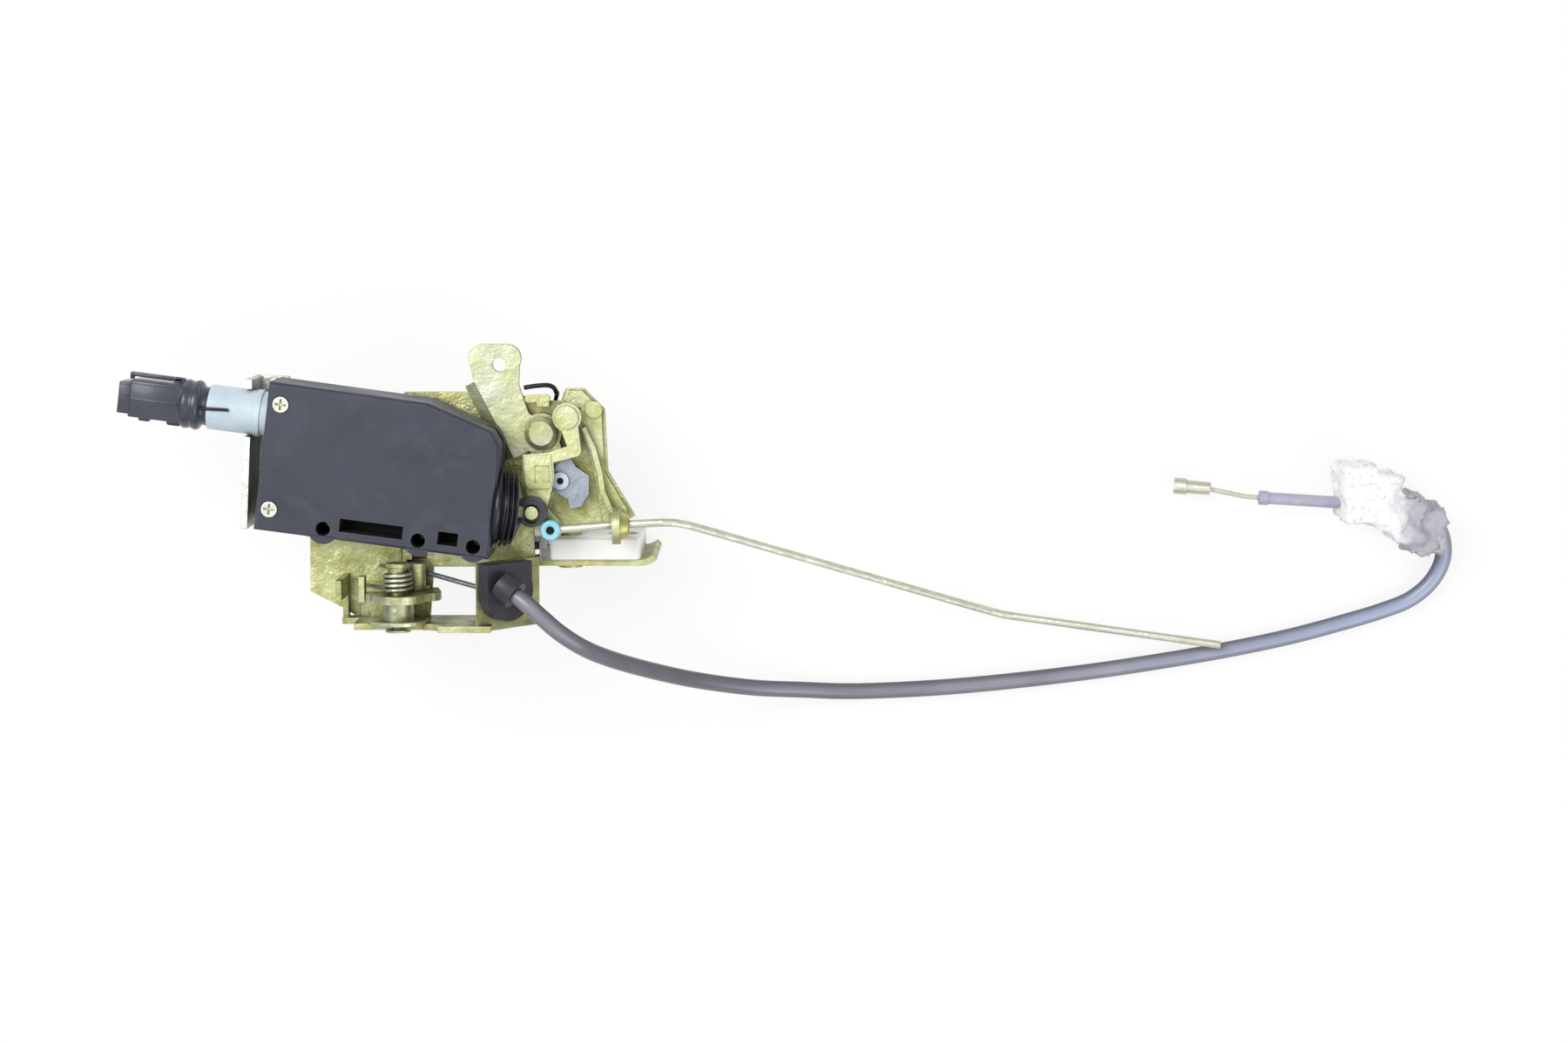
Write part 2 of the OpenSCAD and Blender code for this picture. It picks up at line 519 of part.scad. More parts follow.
module release_lever() color(zinc) at() {
    upright(rel_y, rel_t) difference() {
        union() {
            translate([rel_x, rel_z]) circle(8.6);
            bar2([rel_x, rel_z], [-38, rel_z - 2], 6, 2.8);
            bar2([rel_x, rel_z], [-18.6, rel_z - 4], 7, 3.6);
            polygon([[rel_x - 5, rel_z - 5], [-15, rel_z - 5.6], [-17, z_top + 1.6], [rel_x - 0.4, z_top + 1.6]]);
        }
        translate([rel_x, rel_z]) circle(rel_pin_d / 2 + run);
    }
    // Arm over the main plate, and its finger down through the window
    difference() {
        translate([rel_x + 0.2, rel_y, z_top + 1.6]) cube([3, 15.3, 3]);
        translate([nip[0], rel_y + rel_t, nip[2] + 0.6]) rotate([-90, 0, 0]) cylinder(d = 5.9, h = 9.4);
    }
    translate([rel_x + 0.2, 18.5, z_main - 5.4]) cube([3, 2.8, z_top + 4.6 - z_main + 5.4]);
    // Socket of the cable's nipple
    difference() {
        translate([nip[0], rel_y, nip[2] + 0.6]) rotate([-90, 0, 0]) cylinder(d = 8.6, h = 11);
        translate([nip[0], rel_y + rel_t, nip[2] + 0.6]) rotate([-90, 0, 0]) cylinder(d = 5.9, h = 20);
        translate([nip[0] - 2.8, rel_y + rel_t + 1.2, nip[2] - 1.3]) cube([12, 20, 4.6]);
        translate([rel_x - 9, rel_y, z_top - 9]) cube([30, 20, 10]);
    }
    translate([-40.4, rel_y, rel_z - 3.6]) cube([1.8, 8, 5]);
}
module release_spring() color("#7d7b62") at() translate([rel_x, rel_y + rel_t + 1, rel_z])
    rotate([-90, 0, 0]) tube(concat([[-11, 9.4, 0.4], [-6, 5.4, 0.3]],
        coil((rel_pin_d + rel_wire) / 2 + 0.5, 6.2, 4, 130), [[-4, 8, 6.4], [-7, 12.6, 6.4]]), rel_wire / 2, 8);
wire_end = hub + [-1.4, 0.2, -0.9];
module cable_grommet() color(blackr) at() difference() {
    union() {
        bracket_frame() {
            difference() {
                translate([0, 0, 0.05]) linear_extrude(4) union() {
                    translate([2, 0.6]) circle(9.6);
                    translate([-7.2, -0.2]) square([18.4, 10.2]);
                }
                translate([-20, 9.6, -1]) cube([40, 10, 10]);
            }
            translate([2, 0, -2.3]) cylinder(d = 9.4, h = 3);
            translate([2, 0, -4]) cylinder(d = 12, h = 1.9);
        }
        rod(route[0] - exit_dir * 6, route[0], 9.4);
    }
    rod(nip + (wire_end - nip) * 0.7, wire_end + unit(wire_end - nip) * 4.4, wire_d + 1.6);
}
module cable_inner() color("#b9bbb5") at() {
    translate([nip[0], rel_y + rel_t + 1.7, nip[2] + 0.6]) rotate([-90, 0, 0]) cylinder(d = 5.2, h = 7);
    rod(nip + [2, 0, 0.6], wire_end, wire_d);
}
module cable_sheath() color("#4a4e5c") at() tube(smooth(route, 2), sheath_d / 2, 10);
foam_c = [297, 30, 12];
module foam_wrap() color("#ecebe6") at() difference() {
    translate([foam_c[0], foam_c[1], 0]) union() {
        translate([-19, 4.5, 0.3]) cube([13, 12, 22]);
        translate([-18.5, -4, 0.3]) cube([16, 14, 24]);
        translate([-8, -8, 0.3]) cube([18, 22, 23]);
        translate([2, -15, 0.3]) cube([16, 22, 20]);
    }
    tube(smooth([for (i = [21:25]) route[i]], 3), sheath_d / 2 + 0.25, 12);
    rod(end_a - end_dir * 3, end_a + end_dir * 26, 4.6);
}
module cable_end_tube() color("#53565f") at() difference() {
    union() {
        rod(end_a, end_b, 4);
        rod(end_b - end_dir * 3, end_b, 4.8);
    }
    rod(end_b - end_dir * 10, end_b + end_dir, wire_d + 0.3);
}
module cable_end_nipple() color("#d6d7c8") at() {
    tube([end_b - end_dir * 5.5, end_b + end_dir * 3.6, end_b + end_dir * 5 + [0, 0.1, -0.1], [235.5, 36.5, 6.4]],
        wire_d / 2, 8);
    rod([237, 36.35, 6.65], [228.4, 37, 5.4], 4.4);
    rod([229.2, 36.95, 5.5], [225, 37.25, 4.9], 5.4);
}
// Actuator
lugs = [[-52.6, -12.6], [-22.6, -12.4], [-5.2, -12.2]];
module act_outline(i = 0) {
    polygon([[-act_l + i, -15.6 + i], [-act_l + i, 31.3 - i], [-24.6 - i * 0.2, 31 - i],
        [-3.6 - i, 24.8 - i * 0.8], [-i - 0.8, 21 - i], [-i, 12], [-i, -15.6 + i]]);
}
module act_shell(z, h) {
    flat(z, h) difference() {
        union() {
            act_outline();
            for (p = lugs) translate([p[0], p[1]]) circle(4.9);
        }
        difference() {
            act_outline(wall);
            for (p = lugs) translate([p[0], p[1]]) circle(4.6);
            for (p = screw_at) translate([p[0], p[1]]) circle(3.4);
            for (p = screw_at) translate([-act_l, p[1] - 3.4]) square([act_l + p[0], 6.8]);
            translate([-48.6, -16]) square([42, 8.1]);
        }
    }
}
screw_at = [[-end_x, 24.6], [-end_x, -8.6]];
// Screws that hold the base on the main plate
fix_at = [[10 - end_x, 4], [34 - end_x, 22], [-12, 18]];
fix_d = 3.6;
module act_bores(z, h) {
    for (p = lugs) translate([p[0], p[1], z]) cylinder(d = lug_d, h = h);
    for (p = screw_at) translate([p[0], p[1], z]) cylinder(d = 2.6, h = h);
    // Opening for the plunger and for the leads
    translate([-wall - 1, 0, z_axis]) rotate([0, 90, 0]) cylinder(d = 10, h = wall + 3);
    translate([-act_l - 1, lead_y, z_axis]) rotate([0, 90, 0]) cylinder(d = 9, h = 11);
}
module actuator_base() color(slate) at() actuator_frame() difference() {
    union() {
        act_shell(z_act, z_split - z_act);
        flat(z_act, wall) act_outline(wall - 0.1);
        // Seats of the motor and the gear's shaft
        for (x = [7, 22]) translate([x - end_x, 11, z_act + wall - 0.1]) cube([3, 16, z_axis - z_act - wall - 5]);
        translate([gear_p[0], gear_p[1], z_act + wall - 0.1]) cylinder(d = 8, h = 0.8);
        for (p = fix_at) translate([p[0], p[1], z_top]) cylinder(d = 8.4, h = 8);
    }
    for (p = fix_at) translate([p[0], p[1], z_top - 1]) cylinder(d = fix_d + 2 * run, h = 8.5);
    act_bores(z_act - 1, act_h + 2);
    translate([gear_p[0], gear_p[1], z_act + 1]) cylinder(d = 3 + 2 * run, h = 10);
    translate([0, worm_y, z_axis]) rotate([0, -90, 0]) cylinder(d = motor_d + 0.3, h = end_x);
}
module actuator_cover() color(slate) at() actuator_frame() difference() {
    union() {
        act_shell(z_split, z_act + act_h - 1 - z_split);
        hull() {
            flat(z_act + act_h - 2, 1) act_outline();
            flat(z_act + act_h - 0.1, 0.1) act_outline(0.9);
        }
        for (p = lugs) translate([p[0], p[1], z_split]) cylinder(d = 9.8, h = z_act + act_h - z_split - 0.6);
    }
    translate([0, 0, z_act + act_h - 3.9]) linear_extrude(2) difference() {
        act_outline(wall);
        for (p = lugs) translate([p[0], p[1]]) circle(4.6);
        for (p = screw_at) translate([p[0], p[1]]) circle(3.4);
        for (p = screw_at) translate([-act_l, p[1] - 3.4]) square([act_l + p[0], 6.8]);
        translate([-48.6, -16]) square([42, 8.1]);
    }
    act_bores(z_split - 1, act_h + 2);
    // Room for the motor
    translate([26.2 - end_x, worm_y, z_axis]) rotate([0, -90, 0]) cylinder(d = motor_d + 0.3, h = 21.4);
    for (p = screw_at) translate([p[0], p[1], z_act + act_h - 1.4]) cylinder(d = 5.4, h = 3);
    // Recessed windows of the moulding
    translate([-47.6, -12.8, z_act + act_h - 9.4]) cube([20, 4.2, 12]);
    translate([-16.6, -12.8, z_act + act_h - 9.4]) cube([6.4, 4.2, 12]);
    translate([gear_p[0], gear_p[1], z_split - 1]) cylinder(d = 3 + 2 * run, h = z_act + act_h - z_split);
}
module cover_screws() color("#d9d7a8") at() actuator_frame() for (p = screw_at)
    translate([p[0], p[1], z_act + 3]) {
        cylinder(d = 2.5, h = act_h - 4.4);
        translate([0, 0, act_h - 4.4]) difference() {
            cylinder(d = 5, h = 1.9);
            for (a = [0, 90]) rotate(a) translate([-1.7, -0.35, 1]) cube([3.4, 0.7, 2]);
        }
    }
module mounting_screws() color("#b8b7a0") at() actuator_frame() for (i = [0:2])
    translate([fix_at[i][0], fix_at[i][1], z_main - (i == 2 ? sheet_t : 0)]) {
        translate([0, 0, -2.2]) difference() {
            cylinder(d = 7, h = 2.2);
            translate([-2.4, -0.5, -1]) cube([4.8, 1, 2]);
        }
        translate([0, 0, -0.1]) cylinder(d = fix_d, h = 9.1);
    }
module motor() color("#a9adb2") at() actuator_frame() translate([25.8 - end_x, worm_y, z_axis])
    rotate([0, -90, 0]) {
    cylinder(d = motor_d, h = 20.4);
    translate([0, 0, -1.4]) cylinder(d = 5, h = 1.5);
    translate([0, 0, 20.3]) cylinder(d = motor_d - 4, h = 2.1);
}
module motor_worm() color("#c8c29a") at() actuator_frame() translate([27.3 - end_x, worm_y, z_axis])
    rotate([0, 90, 0]) {
    cylinder(d = 2.8, h = 16.6);
    translate([0, 0, 3.4]) tube(coil(1.55, 11, 5.5, 0, 10), 0.5, 5);
}
module gear_outline(n, r, add, ded, tw) {
    circle(r - ded);
    for (i = [0:n - 1]) rotate(360 * i / n)
        polygon([[r - ded - 0.5, tw * 0.75], [r + add, tw * 0.38], [r + add, -tw * 0.38], [r - ded - 0.5, -tw * 0.75]]);
}
module reduction_gear() color("#e8e4d6") at() actuator_frame() translate([gear_p[0], gear_p[1], 0]) difference() {
    union() {
        flat(z_axis - 1.8, 3.6) gear_outline(22, 11, 0.6, 1, 1.1);
        flat(z_axis - 7.2, 5.6) rotate(8.18) gear_outline(11, 5.5, 0.6, 1, 1.1);
    }
    translate([0, 0, z_act]) cylinder(d = 3 + 2 * run, h = act_h);
}
module gear_shaft() color("#b0b3b6") at() actuator_frame()
    translate([gear_p[0], gear_p[1], z_act + 1]) cylinder(d = 3, h = act_h - 2.1);
module plunger() color(blackr) at() actuator_frame() {
    // Rack inside the housing, rod through its nose, ring at the end
    translate([0, 0, z_axis - 7.2]) difference() {
        union() {
            translate([6 - end_x, -6.6, 0]) cube([end_x - 22.5, 4, 5.1]);
            for (i = [2:11]) translate([gear_p[0] + (i - 9.5) * PI, 0, 0]) linear_extrude(5.1)
                polygon([[-0.82, -2.7], [-0.42, -0.7], [0.42, -0.7], [0.82, -2.7]]);
        }
    }
    translate([-21.5, -6.6, z_axis - 7.2]) cube([5, 9, 10.4]);
    translate([-17, 0, z_axis]) rotate([0, 90, 0]) cylinder(d = 7.4, h = 23.4);
    translate([eye_x, 0, z_axis - 2.3]) linear_extrude(4.6) difference() {
        union() {
            circle(4.7);
            translate([-6.4, -2.6]) square([4, 5.2]);
        }
        for (y = [0.15, -1.2]) translate([0, y]) circle(2.4);
    }
}
module plunger_boot() color(blackr) at() actuator_frame() translate([0.1, 0, z_axis])
    rotate([0, 90, 0]) rotate_extrude() difference() {
        polygon([[5.2, 0], [boot_r - 0.4, 0], [boot_r, 0.7], [boot_r - 1.9, 1.5], [boot_r, 2.4],
            [boot_r - 2, 3.1], [boot_r - 0.1, 3.9], [boot_r - 2.3, 4.6], [boot_r - 1, 5.3],
            [8.4, 6], [6.6, 6.5], [5.2, 6.6]]);
        polygon([[5, 1], [boot_r - 3.4, 1], [boot_r - 3.4, 4.2], [7.4, 4.9], [5, 4.9]]);
    }
module wire_leads() color("#26262a") at() actuator_frame() for (y = [-1.6, 1.6]) for (z = [-1.6, 1.6])
    translate([-31 - end_x, lead_y + y, z_axis + z]) rotate([0, 90, 0]) cylinder(d = 1.7, h = 34);
module lead_sleeve() color(milky) at() actuator_frame() translate([-23.6 - end_x, lead_y, z_axis])
    rotate([0, 90, 0]) difference() {
        union() {
            cylinder(d = 14.2, h = 23.6 + end_x - act_l - 0.05);
            translate([0, 0, 23.6 + end_x - act_l - 4.6]) cylinder(d = 15, h = 2);
        }
        translate([0, 0, -1]) cylinder(d = 8.6, h = 40);
    }
module connector_body() color("#2c2e36") at() actuator_frame() translate([-53.2 - end_x, lead_y, z_axis]) difference() {
    union() {
        translate([0, -5.9, -6]) cube([18, 11.8, 12]);
        translate([-3.8, -5, -5.2]) cube([6, 10, 10.4]);
        translate([17, 0, 0]) rotate([0, 90, 0]) cylinder(d = 16, h = 8);
        translate([24.9, 0, 0]) rotate([0, 90, 0]) cylinder(d = 12.6, h = 4.5);
        // Latch rail on its two feet
        translate([1.5, 7, -1.6]) cube([16.5, 1.2, 3.2]);
        for (x = [1.5, 14.5]) translate([x, 5.8, -1.6]) cube([3.5, 1.4, 3.2]);
        translate([6, -7.2, -1.6]) cube([3, 1.5, 3.2]);
        translate([13.4, -7.2, -1.6]) cube([3, 1.5, 3.2]);
    }
    translate([-4.8, -4, -4.2]) cube([16.8, 8, 8.4]);
    translate([8, 0, 0]) rotate([0, 90, 0]) cylinder(d = 9, h = 30);
}
module connector_terminals() color("#c9b27a") at() actuator_frame() translate([-53.2 - end_x, lead_y, z_axis]) {
    translate([12.1, 0, 0]) rotate([0, 90, 0]) cylinder(d = 8.9, h = 9.7);
    for (y = [-2.4, 2.4]) for (z = [-2.2, 2.2])
        translate([5, y - 0.8, z - 0.4]) cube([7.2, 1.6, 0.8]);
}

main_plate();
faceplate();
side_gusset();
back_bracket();
latch_case();
fork_bolt();
fork_pin();
fork_spring();
pawl();
pawl_pin();
pawl_spring();
stop_buffer();
outside_lever();
lever_rivet();
lever_spring();
lever_stop();
connecting_link();
link_rivet();
lock_lever();
lock_pivot();
lock_rod();
rod_clip();
guide_arm();
guide_bush();
release_link();
link_guides();
release_bracket();
release_lever();
release_pin();
release_spring();
cable_grommet();
cable_inner();
cable_sheath();
foam_wrap();
cable_end_tube();
cable_end_nipple();
actuator_base();
actuator_cover();
cover_screws();
mounting_screws();
motor();
motor_worm();
reduction_gear();
gear_shaft();
plunger();
plunger_boot();
wire_leads();
lead_sleeve();
connector_body();
connector_terminals();
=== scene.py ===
"""Door latch actuator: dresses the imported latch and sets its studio, camera and lights."""

from __future__ import annotations

import logging
import math
from dataclasses import dataclass, field, replace
from enum import Enum
from typing import Iterable, Sequence

import bmesh
import bpy
from mathutils import Matrix, Vector, noise

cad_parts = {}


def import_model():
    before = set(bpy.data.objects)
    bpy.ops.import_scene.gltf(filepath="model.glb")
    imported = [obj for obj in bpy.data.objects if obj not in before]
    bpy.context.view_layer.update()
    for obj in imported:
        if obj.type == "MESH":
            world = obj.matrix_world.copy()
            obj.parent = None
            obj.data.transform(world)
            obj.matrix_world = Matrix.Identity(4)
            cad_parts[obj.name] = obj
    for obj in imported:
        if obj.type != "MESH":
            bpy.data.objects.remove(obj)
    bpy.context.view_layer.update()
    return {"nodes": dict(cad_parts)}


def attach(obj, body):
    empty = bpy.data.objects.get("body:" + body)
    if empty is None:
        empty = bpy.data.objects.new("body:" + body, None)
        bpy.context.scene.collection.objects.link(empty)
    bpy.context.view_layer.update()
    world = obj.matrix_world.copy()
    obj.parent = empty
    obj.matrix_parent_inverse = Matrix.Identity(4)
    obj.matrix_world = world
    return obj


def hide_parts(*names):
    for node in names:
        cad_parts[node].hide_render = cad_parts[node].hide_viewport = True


log = logging.getLogger("door_latch")

Point = tuple[float, float, float]
Pair = tuple[float, float]
SoftBox = tuple[Point, Point, float]

MM_PER_M = 1000.0
DATUM = Vector((0.0, 15.0, 20.0))
FLOOR_Z = -0.020
FLOOR_GAP = 0.0002
FRAME_BODY = "latch_frame"
FULL_TURN = 2 * math.pi
COIL_STEP = 30
EDGE_STEPS = 3
RING_STEPS = 48

# Rays of the nodes that feel for edges and corners.
FEELERS = 4

# Sockets of a Mix node that mixes colours, where both colours share one label.
MIX_LOW, MIX_HIGH, MIX_RESULT = 6, 7, 2

# The curve of display colours.
KNEE, KNEE_SLOPE, LIFT, POWER = 0.04045, 12.92, 0.055, 2.4


def spot(x: float, y: float, z: float) -> Vector:
    """Turn plan millimetres into the shared frame's metres.

    Args:
        x: Along the latch, towards the rod's end.
        y: Across it, away from the faceplate.
        z: Height above the ground that the back edges stand on.

    Returns:
        The place in the frame.
    """
    return (Vector((x, y, z)) - DATUM) / MM_PER_M


def tint(code: str) -> tuple[float, float, float, float]:
    """Turn a display colour code into the linear colour of a shader socket.

    Args:
        code: Six hexadecimal digits after a hash sign.

    Returns:
        Linear red, green and blue with an alpha of one.
    """
    levels = [int(code[i : i + 2], 16) / 255.0 for i in (1, 3, 5)]
    red, green, blue = (
        v / KNEE_SLOPE if v <= KNEE else ((v + LIFT) / (1.0 + LIFT)) ** POWER for v in levels
    )
    return (red, green, blue, 1.0)


def catmull(points: Sequence[Point], steps: int) -> list[Vector]:
    """Run a smooth curve through given points.

    Args:
        points: The route's points.
        steps: Pieces that each stretch between two points is cut into.

    Returns:
        The points of the curve, both ends included.
    """
    p = [Vector(q) for q in points]
    out: list[Vector] = []
    for i in range(len(p) - 1):
        a, b, c, d = p[max(i - 1, 0)], p[i], p[i + 1], p[min(i + 2, len(p) - 1)]
        for j in range(steps):
            t = j / steps
            place = 2 * b + (c - a) * t + (2 * a - 5 * b + 4 * c - d) * t * t
            place += (3 * b - a - 3 * c + d) * t * t * t
            out.append(0.5 * place)
    out.append(p[-1])
    return out


def coil(radius: float, start: int, count: int, rise: float) -> list[Point]:
    """Wind a coil around an upright axis.

    Args:
        radius: Radius of the wire's middle.
        start: Angle of the first point in degrees.
        count: Steps that the coil is cut into.
        rise: Height from its first to its last point.

    Returns:
        The points of the wire's middle, from height 0.
    """
    angles = range(start, start + (count + 1) * COIL_STEP, COIL_STEP)
    return [
        (radius * math.cos(math.radians(a)), radius * math.sin(math.radians(a)), rise * i / count)
        for i, a in enumerate(angles)
    ]


def box(
    bm: bmesh.types.BMesh, span: Sequence[float], middle: Sequence[float]
) -> list[bmesh.types.BMVert]:
    """Add a plain box.

    Args:
        bm: The mesh that gets it.
        span: Its three lengths.
        middle: Its centre.

    Returns:
        Its corners.
    """
    made = bmesh.ops.create_cube(bm, size=1.0)["verts"]
    bmesh.ops.scale(bm, verts=made, vec=span)
    bmesh.ops.translate(bm, verts=made, vec=middle)
    return made


def block(bm: bmesh.types.BMesh, low: Sequence[float], high: Sequence[float], soft: float) -> None:
    """Add a box with rounded edges.

    Args:
        bm: The mesh that gets it.
        low: The corner with the smallest numbers.
        high: The corner with the largest numbers.
        soft: Radius of the edges.
    """
    span = [b - a for a, b in zip(low, high)]
    made = box(bm, span, [(a + b) / 2 for a, b in zip(low, high)])
    edges = list(dict.fromkeys(e for v in made for e in v.link_edges))
    bmesh.ops.bevel(
        bm, geom=edges, offset=soft, segments=EDGE_STEPS, profile=0.5, affect="EDGES", material=-1
    )


def turned(
    bm: bmesh.types.BMesh,
    outline: Sequence[Pair],
    centre: Sequence[float] = (0.0, 0.0, 0.0),
    axis: Point = (1.0, 0.0, 0.0),
    out: Point = (0.0, 1.0, 0.0),
    steps: int = RING_STEPS,
) -> None:
    """Add a closed ring, turned around an axis.

    Args:
        bm: The mesh that gets it.
        outline: Distance along the axis and radius of each point.
        centre: Where the axis runs through.
        axis: Its direction.
        out: Direction, square to the axis, in which the outline is drawn.
        steps: Faces around.
    """
    mid, way, side = Vector(centre), Vector(axis), Vector(out)
    verts = [bm.verts.new(mid + way * x + side * r) for x, r in outline]
    edges = [bm.edges.new(pair) for pair in zip(verts, verts[1:] + verts[:1])]
    bmesh.ops.spin(
        bm, geom=verts + edges, cent=mid, axis=way, dvec=(0, 0, 0), angle=FULL_TURN,
        steps=steps, use_merge=True, use_duplicate=False,
    )


class Finish(Enum):
    """The finishes of the latch's pieces."""

    ZINC = "yellow zinc"
    PLATE = "zinc plate"
    ZINC_PALE = "pale zinc"
    ZINC_OLIVE = "olive zinc"
    ZINC_DARK = "inner zinc"
    ROD = "plated rod"
    COIL = "plated coil"
    STEEL = "plain steel"
    BRIGHT = "bright plate"
    SPRING = "spring steel"
    NYLON = "milky nylon"
    SLEEVE = "milky sleeve"
    SLATE = "moulded case"
    PLUG = "glossy plug"
    # Black pieces that stand in for the shade in holes and windows: painted shade.
    RECESS_SHADE = "painted recess shade"
    CLIP = "blue clip"
    RUBBER = "black rubber"
    BOOT = "glossy boot"
    SHEATH = "cable sheath"
    TUBE = "end tube"
    FOAM = "white foam"
    BRASS = "terminal brass"
    ACETAL = "gear plastic"


@dataclass(frozen=True)
class Coat:
    """How one finish looks.

    Attributes:
        base: Main colour code.
        shade: Colour code of the darker patches.
        stain_and_shade: Colour code of the small strong stains, and of the painted shade on
            standing faces and in corners.
        edge: Colour code along the edges, for wear and painted highlight.
        slot: Material slot of the record; not used.
        metallic: Share of metal.
        rough: Lowest and highest roughness.
        patch: Patches to a metre.
        cloudy: How much the patches show.
        stained: How much the stains show.
        grain: Grains to a metre of the fine relief.
        relief: Height of the fine relief in metres.
        round_off: Radius in metres that the bevelled normal gives to hard edges.
        wear_and_highlight: How much of the edge colour shows, as wear and painted highlight.
        corner_shade: How much painted shade, in the colour of the stains, darkens the corners.
        speckle: How many times finer the stains are than the patches.
        slope_shade: How much painted shade, in the colour of the stains, darkens faces that stand
            up.
        dents: Height in metres of the soft unevenness of pressed sheet.
        bloom: Colour code of a second tone.
        bloomed: How much the second tone shows.
        span: X in metres where the second tone begins and where it is full. If both are 0, it
            lies in patches.
    """

    base: str
    shade: str
    stain_and_shade: str
    edge: str
    slot: str
    metallic: float = 0.0
    rough: Pair = (0.4, 0.6)
    patch: float = 90.0
    cloudy: float = 0.5
    stained: float = 0.0
    grain: float = 2500.0
    relief: float = 0.00001
    round_off: float = 0.0003
    wear_and_highlight: float = 0.4
    corner_shade: float = 0.4
    speckle: float = 2.7
    slope_shade: float = 0.0
    dents: float = 0.0
    bloom: str = "#ffffff"
    bloomed: float = 0.0
    span: Pair = (0.0, 0.0)


def plated(base: str, shade: str, stain_and_shade: str, edge: str, slot: str, stained: float) -> Coat:
    """Make the coat of a plated or bare metal.

    Args:
        base: Main colour code.
        shade: Colour code of the darker patches.
        stain_and_shade: Colour code of the strong stains and of the painted shade.
        edge: Colour code along the edges, for wear and painted highlight.
        slot: Material slot of the record.
        stained: How much the stains show.

    Returns:
        The coat.
    """
    return Coat(
        base, shade, stain_and_shade, edge, slot, metallic=0.72, rough=(0.3, 0.48), patch=95.0, cloudy=0.75,
        stained=stained, grain=1500.0, relief=0.000014, round_off=0.00035, wear_and_highlight=0.7, corner_shade=0.9,
        speckle=1.7, slope_shade=0.45, dents=0.0002, bloom="#dfeae0", bloomed=0.45,
    )


def moulded(base: str, shade: str, edge: str, slot: str, rough: Pair = (0.35, 0.5)) -> Coat:
    """Make the coat of a moulded plastic or rubber.

    Args:
        base: Main colour code.
        shade: Colour code of the darker patches, of the stains and of the painted shade in
            corners.
        edge: Colour code along the edges, for wear and painted highlight.
        slot: Material slot of the record.
        rough: Lowest and highest roughness.

    Returns:
        The coat.
    """
    return Coat(
        base, shade, shade, edge, slot, rough=rough, patch=110.0, cloudy=0.6, stained=0.25,
        grain=3600.0, relief=0.000012, wear_and_highlight=0.35, corner_shade=0.3,
    )


